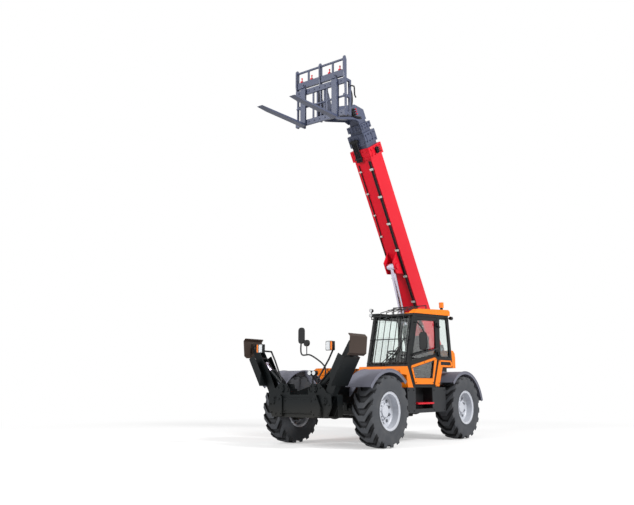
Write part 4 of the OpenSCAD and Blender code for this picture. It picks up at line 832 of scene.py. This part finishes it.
# Inside the cab: chair with its padded cushions, control stick, pedals and dash hood

CHAIR_X, CHAIR_Y = -0.420, 0.650
PAD_COLUMNS, PAD_ROWS = 72, 37
PLAN_POWER, EDGE_POWER, FACE_POWER = 0.35, 0.4, 0.55
SIDE_PULL, CROWN_SHARE = 0.03, 0.28
SWELL, CELL, PRESSURE, CLOTH_STEPS = 0.010, 0.010, 4.0, 20
SEAMS, SEAM_DEPTH, SEAM_REACH = np.array([-0.13, 0.13]), 0.012, 0.009


def signed_power(value, power):
    """A number's size raised to a power, with its sign kept."""
    return np.sign(value) * np.abs(value) ** power


def cushion(width, depth, thick):
    """A crowned pad: a squared ball whose sides pull in between the corners, thickest in the middle."""
    around = np.linspace(0, TURN, PAD_COLUMNS, endpoint=False)[None, :]
    up = np.linspace(-TURN / 4, TURN / 4, PAD_ROWS)[1:-1, None]
    out = np.cos(up) ** EDGE_POWER * (1 - SIDE_PULL * np.cos(2 * around) ** 2)
    x = width / 2 * out * signed_power(np.cos(around), PLAN_POWER)
    y = depth / 2 * out * signed_power(np.sin(around), PLAN_POWER)
    crown = 1 - CROWN_SHARE + CROWN_SHARE * (1 - (2 * x / width) ** 2) * (1 - (2 * y / depth) ** 2)
    z = thick / 2 * signed_power(np.sin(up), FACE_POWER) * crown
    return capped(np.stack([x, y, z], -1))


def take_shape(piece):
    """Makes what a piece's modifiers show its own mesh, and clears them."""
    graph = bpy.context.evaluated_depsgraph_get()
    piece.data = bpy.data.meshes.new_from_object(piece.evaluated_get(graph), depsgraph=graph)
    piece.modifiers.clear()


def points_of(mesh):
    """A mesh's points as rows of three."""
    found = np.empty(3 * len(mesh.vertices), np.float32)
    mesh.vertices.foreach_get("co", found)
    return found.reshape(-1, 3)


def filled(pad, place, axes):
    """Filled cloth: the skin cut in even cells swells under light pressure, no point by more than the swell.
    Then the top dips along each seam by the depth times e to the minus square of distance over reach."""
    cells = pad.modifiers.new("even_cells", "REMESH")
    cells.mode, cells.voxel_size, cells.use_smooth_shade = "VOXEL", CELL, True
    take_shape(pad)
    start = points_of(pad.data)
    cloth = pad.modifiers.new("filled_cloth", "CLOTH").settings
    cloth.use_pressure, cloth.uniform_pressure_force, cloth.effector_weights.gravity = True, PRESSURE, 0
    for step in range(1, CLOTH_STEPS + 1):
        scene.frame_set(step)
    take_shape(pad)
    move = points_of(pad.data) - start
    far = np.linalg.norm(move, axis=1, keepdims=True)
    pad.data.vertices.foreach_set("co", (start + move * np.minimum(1, SWELL / np.maximum(far, 1e-9))).ravel())
    pad.modifiers.new("finer", "SUBSURF").levels = 1
    take_shape(pad)
    points = points_of(pad.data)
    across, _, up = ((points - place) @ axes).T
    dip = SEAM_DEPTH * np.exp(-((across[:, None] - SEAMS) / SEAM_REACH) ** 2).sum(1) * (up > 0)
    pad.data.vertices.foreach_set("co", (points - dip[:, None] * axes[:, 2]).ravel())
    scene.frame_set(1)


lying, leaning = on_face(LEFT, UP), on_face(LEFT, unit([0.983, 0, 0.180]))
PADS = {"chair_cushion": ((0.490, 0.520, 0.135), (CHAIR_X + 0.005, CHAIR_Y, 1.420), lying),
        "chair_back": ((0.470, 0.590, 0.125), (CHAIR_X - 0.240, CHAIR_Y, 1.780), leaning)}
for name, (size, place, axes) in PADS.items():
    small = cushion(*(np.array(size) - 2 * SWELL))
    pad = put(name, copies(small, [place], axes), "chassis", chair_finish, "black_plastic")
    filled(pad, place, axes)
    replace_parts(pad, "operator_chair")

BELLOWS_FOLDS, FOLD_DEPTH, BELLOWS_LOW, BELLOWS_TALL = 5, 0.022, 1.075, 0.255
rise = np.linspace(0, 1, 41)
insets = FOLD_DEPTH * (1 - np.cos(BELLOWS_FOLDS * TURN * rise)) / 2
folds = [rounded(0.36 - inset, 0.33 - inset, 0.03) for inset in insets]
bellows = raised(folds, BELLOWS_LOW + BELLOWS_TALL * rise)
chair = [copies(bellows, [(CHAIR_X + 0.025, CHAIR_Y, 0)], lying),
         copies(slab(0.44, 0.46, 0.022, 0.03, 0.004), [(CHAIR_X + 0.005, CHAIR_Y, 1.330)], lying)]
REST_OUT = 0.265
rest = slab(0.055, 0.30, 0.035, 0.015, 0.006)
chair += [copies(rest, [(CHAIR_X - 0.03, CHAIR_Y + side * REST_OUT, 1.62)], lying) for side in (1, -1)]
# An armrest post's corners from the chair's middle: forward, out and up
REST_POST = ((-0.20, 0.262, 1.40), (-0.19, REST_OUT, 1.52), (-0.15, REST_OUT, 1.625))
chair += [carried([(CHAIR_X + x, CHAIR_Y + side * y, z) for x, y, z in REST_POST], rounded(0.02, 0.03, 0.006))
          for side in (1, -1)]
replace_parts(put("chair_frame", joined(*chair), "chassis", "black_plastic"), "operator_chair")

console_lo, console_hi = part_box("console")
stick_at = np.array([console_hi.x - 0.20, (console_lo.y + console_hi.y) / 2, console_hi.z])
boot = turned([(0.052, 0), (0.050, 0.008), (0.040, 0.014), (0.043, 0.020), (0.030, 0.030), (0.033, 0.036),
               (0.016, 0.048)], 20)
grip = turned([(0.009, 0.04), (0.009, 0.11), (0.018, 0.125), (0.023, 0.16), (0.021, 0.20), (0.025, 0.225),
               (0.016, 0.24)], 20)
keys = [stick_at + [-0.10 - 0.045 * column, 0.025 * side, 0] for column in range(5) for side in (1, -1)]
stick = joined(copies(joined(boot, grip), [stick_at]), copies(slab(0.034, 0.018, 0.007, 0.004, 0.002), keys))
put("control_stick", stick, "chassis", "black_plastic")
FLOOR_Z, PEDAL_Y = 1.065, (0.52, 0.79)
pedal_axes, dash_axes = on_face(LEFT, unit([0.8, 0, 0.6])), on_face(LEFT, unit([0.87, 0, 0.5]))
pedal_at = [(0.215, y, FLOOR_Z + 0.095) for y in PEDAL_Y]
pedals = copies(slab(0.08, 0.13, 0.014, 0.012, 0.003), pedal_at, pedal_axes)
STEM = ((0.25, 0), (0.245, 0.05), (0.22, 0.095))
stems = [carried([(x, y, FLOOR_Z + up) for x, up in STEM], circle(0.012)) for y in PEDAL_Y]
put("pedals", joined(pedals, *stems), "chassis", "black_plastic")
put("dash_hood", copies(slab(0.26, 0.11, 0.07, 0.03, 0.012), [(0.225, 0.650, 1.50)], dash_axes), "chassis",
    "black_plastic")


# Body: rolled fender edges, sheets of painted shade in the step recess, panel bolts, engine cover fittings and the
# roof rim's cover

FENDER_R, FENDER_Z, FENDER_OUT, FENDER_IN = 0.774, 0.560, 1.197, 0.690
FENDER_ARCS = {"front_left": (38, 134), "rear_left": (46, 166)}
beads = []
for wheel, ends in FENDER_ARCS.items():
    a = np.radians(np.linspace(*ends, 40))
    x = joint["spin_" + wheel]["pos_m"][0] + FENDER_R * np.cos(a)
    z = FENDER_Z + FENDER_R * np.sin(a)
    for side in (1, -1):
        for y, radius in ((FENDER_OUT, 0.010), (FENDER_IN, 0.008)):
            beads.append(carried(np.stack([x, side * y + 0 * a, z], -1), circle(radius, 10)))
put("fender_beads", joined(*beads), "chassis", "grey_plastic")

step_lo, step_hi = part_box("step_box")
STEP_X, STEP_IN, SHADE_SHEET_THICK = (-0.3316, 0.302), 0.900, 0.005
STEP_WIDE, STEP_MIDDLE = STEP_X[1] - STEP_X[0], sum(STEP_X) / 2
SHADE_SHEET_TALL, SHADE_SHEET_Z = step_hi.z - 0.640, (step_hi.z + 0.635) / 2
# Sheets of painted shade, blacker than the step box, on the recess's back, its two ends and its floor: width,
# depth, place and axes
recess_shade_sheets = [
    (STEP_WIDE - 0.004, SHADE_SHEET_TALL, (STEP_MIDDLE, STEP_IN + 0.001, SHADE_SHEET_Z), on_face(-FORWARD, LEFT)),
    (0.200, SHADE_SHEET_TALL, (STEP_X[0] + 0.001, STEP_IN + 0.106, SHADE_SHEET_Z), on_face(LEFT, FORWARD)),
    (0.200, SHADE_SHEET_TALL, (STEP_X[1] - 0.001, STEP_IN + 0.106, SHADE_SHEET_Z), on_face(-LEFT, -FORWARD)),
    (STEP_WIDE - 0.02, 0.19, (STEP_MIDDLE, STEP_IN + 0.105, 0.631), on_face(FORWARD, UP))]
recess_shade = [copies(slab(width, depth, SHADE_SHEET_THICK, 0.01, 0.001), [place], axes)
         for width, depth, place, axes in recess_shade_sheets]
put("step_liner", joined(*recess_shade), "chassis", "black_plastic")
STEP_BOLT_X = (step_lo.x + 0.05, STEP_X[0] - 0.06, STEP_X[1] + 0.06, step_hi.x - 0.05)
step_bolts = [(x, step_hi.y, z) for x in STEP_BOLT_X for z in (0.60, 0.97)]
PANEL_XZ = ((-0.475, 1.06), (-0.60, 1.10), (-1.14, 1.53), (-0.66, 1.53), (-1.16, 1.43))
panel_bolts = [(x, LEFT_FACE + 0.010, z) for x, z in PANEL_XZ]
body_bolts = joined(copies(bolt(0.016), step_bolts, leftward), copies(bolt(0.014), panel_bolts, leftward))
put("body_bolts", body_bolts, "chassis", "charcoal_paint")
DOOR_XZ = ((0.27, 1.11), (0.40, 1.37), (-0.37, 1.11), (-0.51, 1.555), (-0.06, 1.49))
door_bolts = [(x, LEFT_FACE + 0.008, z) for x, z in DOOR_XZ]
put("door_panel_bolts", copies(bolt(0.014), door_bolts, leftward), "cab_door", "charcoal_paint")

cover_lo, cover_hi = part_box("engine_cover")
LID_EDGE, LID_RAIL_Z = 1.244, 1.275
catch = topped((0.07, 0.045, 0.014, 0.01, 0.003), slab(0.05, 0.02, 0.012, 0.008, 0.003), [(0, 0)])
catches = [(x, cover_lo.y, LID_EDGE - 0.05) for x in (cover_lo.x + 0.25, cover_hi.x - 0.25)]
put("lid_catches", copies(catch, catches, on_face(UP, -LEFT)), "chassis", "black_plastic")
SLOT_X = (cover_lo.x + 0.350, cover_hi.x - 0.350)
FINS, FIN_LOW, FIN_STEP = 7, 0.790, 0.048
fin = slab(SLOT_X[1] - SLOT_X[0] - 0.01, 0.030, 0.004, 0.003, 0.001)
fin_at = [(sum(SLOT_X) / 2, cover_lo.y + 0.010, FIN_LOW + FIN_STEP * i) for i in range(FINS)]
put("louvre_fins", copies(fin, fin_at, on_face(FORWARD, unit([0, -0.6, 0.8]))), "chassis", "black_plastic")
# The lid's handle from each end of the cover: distance in, and out from its side
RAIL_END = ((0.52, -0.001), (0.53, 0.030), (0.56, 0.035))
lid_rail = [(cover_lo.x + inset, cover_lo.y - out, LID_RAIL_Z) for inset, out in RAIL_END]
lid_rail += [(cover_hi.x - inset, cover_lo.y - out, LID_RAIL_Z) for inset, out in RAIL_END[::-1]]
put("lid_handle", tube(lid_rail, 0.010), "engine_hatch", "black_plastic")

roof_lo, roof_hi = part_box("cab_roof")
RIM_REAR, RIM_WIDE, RIM_TALL, COVER = -0.898, 0.132, 0.033, 0.002
rim_rings = []
for x in (RIM_REAR, roof_hi.x + COVER):
    under = BROW[1] + (x - BROW[0]) * (REAR_TOP[1] - BROW[1]) / (REAR_TOP[0] - BROW[0])
    near, far, over = roof_lo.y - COVER, roof_lo.y + RIM_WIDE, under + RIM_TALL
    rim_rings.append([(x, near, under), (x, far, under), (x, far, over), (x, near, over)])
put("roof_rim_cover", capped(np.array(rim_rings)), "chassis", "charcoal_paint")


# Rear and axles: tow pin, frame and tower bolts, axle bolts and kingpin covers

HITCH_X, HITCH_TOP = -2.790, 0.820
tow_pin = turned([(0.012, 0), (0.019, 0.012), (0.019, 0.165), (0.034, 0.167), (0.034, 0.178), (0.014, 0.180),
                  (0.014, 0.215)], 24)
tee = carried([(HITCH_X, y, HITCH_TOP + 0.060) for y in (-0.05, 0.0, 0.05)], circle(0.010))
put("tow_pin", joined(copies(tow_pin, [(HITCH_X, 0, HITCH_TOP - 0.166)]), tee), "chassis", zinc_finish)
REAR_FACE, REAR_BOLT_Z, REAR_BOLT_Y = -2.720, 0.67, np.linspace(-0.28, 0.28, 6)
rear_bolts = [(REAR_FACE, y, REAR_BOLT_Z) for y in REAR_BOLT_Y]
put("rear_bolts", copies(bolt(0.026), rear_bolts, rearward), "chassis", zinc_finish)
TOWER_BOLT_X, TOWER_BOLT_Z = (-2.70, -2.45, -2.2, -1.95, -1.75), 0.95
tower_bolts = [copies(bolt(0.026), [(x, y, TOWER_BOLT_Z) for x in TOWER_BOLT_X], axes)
               for y, axes in ((0.1351, leftward), (-0.4351, rightward))]
put("tower_bolts", joined(*tower_bolts), "chassis", zinc_finish)

axle_bolts = []
for wheel in ("front_left", "rear_left"):
    centre = np.array(joint["spin_" + wheel]["pos_m"]) * [1, 0, 1]
    for way in (1, -1):
        axle_bolts.append(copies(bolt(0.018), *ring_of_places(centre, way * FORWARD, 0.100, 0.131, 10)))
put("axle_bolts", joined(*axle_bolts), "chassis", zinc_finish)
KING_TOP, KING_LOW, KING_RING = 0.800, 0.440, 0.040
king_heads = [(KING_RING * math.cos(a), KING_RING * math.sin(a), 0.016) for a in np.arange(4) * TURN / 4]
lid = joined(turned([(0.056, 0), (0.056, 0.012), (0.050, 0.016)], 24), copies(bolt(0.014), king_heads))
king_caps = []
for long in WHEELS.values():
    x, y, _ = joint["steer_" + long]["pos_m"]
    king_caps.append(copies(lid, [(x, y, KING_TOP)]))
    king_caps.append(copies(lid, [(x, y, KING_LOW)], np.diag([1.0, -1.0, -1.0])))
put("kingpin_caps", joined(*king_caps), "chassis", "charcoal_paint")


# Camera, floor and light

CAMERA_AT = (11.95, 7.91, 1.05)
CAMERA_YAW, CAMERA_PITCH = -142.02, 10.56
SENSOR_MM, LENS_MM = 36.0, 40.6
lens = bpy.data.cameras.new("photo_camera")
lens.sensor_width, lens.lens = SENSOR_MM, LENS_MM
lens.clip_start, lens.clip_end = 0.1, 400.0
camera = bpy.data.objects.new("photo_camera", lens)
camera.location = CAMERA_AT
camera.rotation_euler = Euler([math.radians(a) for a in (90 + CAMERA_PITCH, 0, CAMERA_YAW - 90)])
scene.collection.objects.link(camera)
scene.camera = camera


def background_ray(tree):
    """One for rays from the camera, a reflection or glass, so that they all show the white backdrop."""
    path = add(tree, "ShaderNodeLightPath").outputs
    first = add(tree, "ShaderNodeMath", {0: path["Is Camera Ray"], 1: path["Is Glossy Ray"]},
                operation="MAXIMUM")
    any_of_them = add(tree, "ShaderNodeMath", {0: first.outputs[0], 1: path["Is Transmission Ray"]},
                      operation="MAXIMUM")
    return any_of_them.outputs[0]


# The floor's own glow lifts it to white where the key light falls, and its shadows to a pale grey
FLOOR_HALF = 90.0
FLOOR_FADE_FROM, FLOOR_FADE_TO = 6.0, 11.0
FLOOR_GLOW = 0.42
WHITE = linear("#ffffff")
floor_mesh = bpy.data.meshes.new("studio_floor")
floor_mesh.from_pydata([(-FLOOR_HALF, -FLOOR_HALF, 0), (FLOOR_HALF, -FLOOR_HALF, 0),
                        (FLOOR_HALF, FLOOR_HALF, 0), (-FLOOR_HALF, FLOOR_HALF, 0)], [], [(0, 1, 2, 3)])
floor = bpy.data.objects.new("studio_floor", floor_mesh)
scene.collection.objects.link(floor)
pale, tree, where = new_material("pale_studio_floor")
distance = add(tree, "ShaderNodeVectorMath", {0: where}, operation="LENGTH")
fade = add(tree, "ShaderNodeMapRange", {"Value": distance.outputs["Value"], "From Min": FLOOR_FADE_FROM,
                                        "From Max": FLOOR_FADE_TO}, interpolation_type="SMOOTHSTEP")
showing = background_ray(tree)
matt = add(tree, "ShaderNodeBsdfDiffuse", {"Color": linear("#cccccc")})
glow_strength = add(tree, "ShaderNodeMath", {0: showing, 1: FLOOR_GLOW}, operation="MULTIPLY")
glow = add(tree, "ShaderNodeEmission", {"Color": WHITE, "Strength": glow_strength.outputs[0]})
near = add(tree, "ShaderNodeAddShader", {0: matt.outputs[0], 1: glow.outputs[0]})
white = add(tree, "ShaderNodeEmission", {"Color": WHITE, "Strength": 1.0})
seen = add(tree, "ShaderNodeMath", {0: fade.outputs[0], 1: showing}, operation="MULTIPLY")
ground = add(tree, "ShaderNodeMixShader", {0: seen.outputs[0], 1: near.outputs[0], 2: white.outputs[0]})
add(tree, "ShaderNodeOutputMaterial", {"Surface": ground.outputs[0]})
floor_mesh.materials.append(pale)

SKY_LIGHT = 0.42
sky = bpy.data.worlds.new("studio_sky")
sky.use_nodes = True
tree = sky.node_tree
tree.nodes.clear()
showing = background_ray(tree)
strength = add(tree, "ShaderNodeMapRange", {"Value": showing, "To Min": SKY_LIGHT, "To Max": 1.0})
backdrop = add(tree, "ShaderNodeBackground", {"Color": WHITE, "Strength": strength.outputs[0]})
add(tree, "ShaderNodeOutputWorld", {"Surface": backdrop.outputs[0]})
scene.world = sky
scene.view_settings.view_transform = "Standard"


def soft_box(name, place, aim, size, watts):
    """A square area lamp at a place, turned to face a point."""
    lamp = bpy.data.lights.new(name, "AREA")
    lamp.size, lamp.energy = size, watts
    holder = bpy.data.objects.new(name, lamp)
    holder.location = place
    holder.rotation_euler = (Vector(aim) - Vector(place)).to_track_quat("-Z", "Y").to_euler()
    scene.collection.objects.link(holder)


LAMP_AIM = (0.0, 0.0, 2.5)
soft_box("key_soft_box", (0.5, 15.0, 11.0), LAMP_AIM, 4.0, 3100)
soft_box("fill_soft_box", (14.0, -4.0, 8.0), LAMP_AIM, 6.0, 1900)
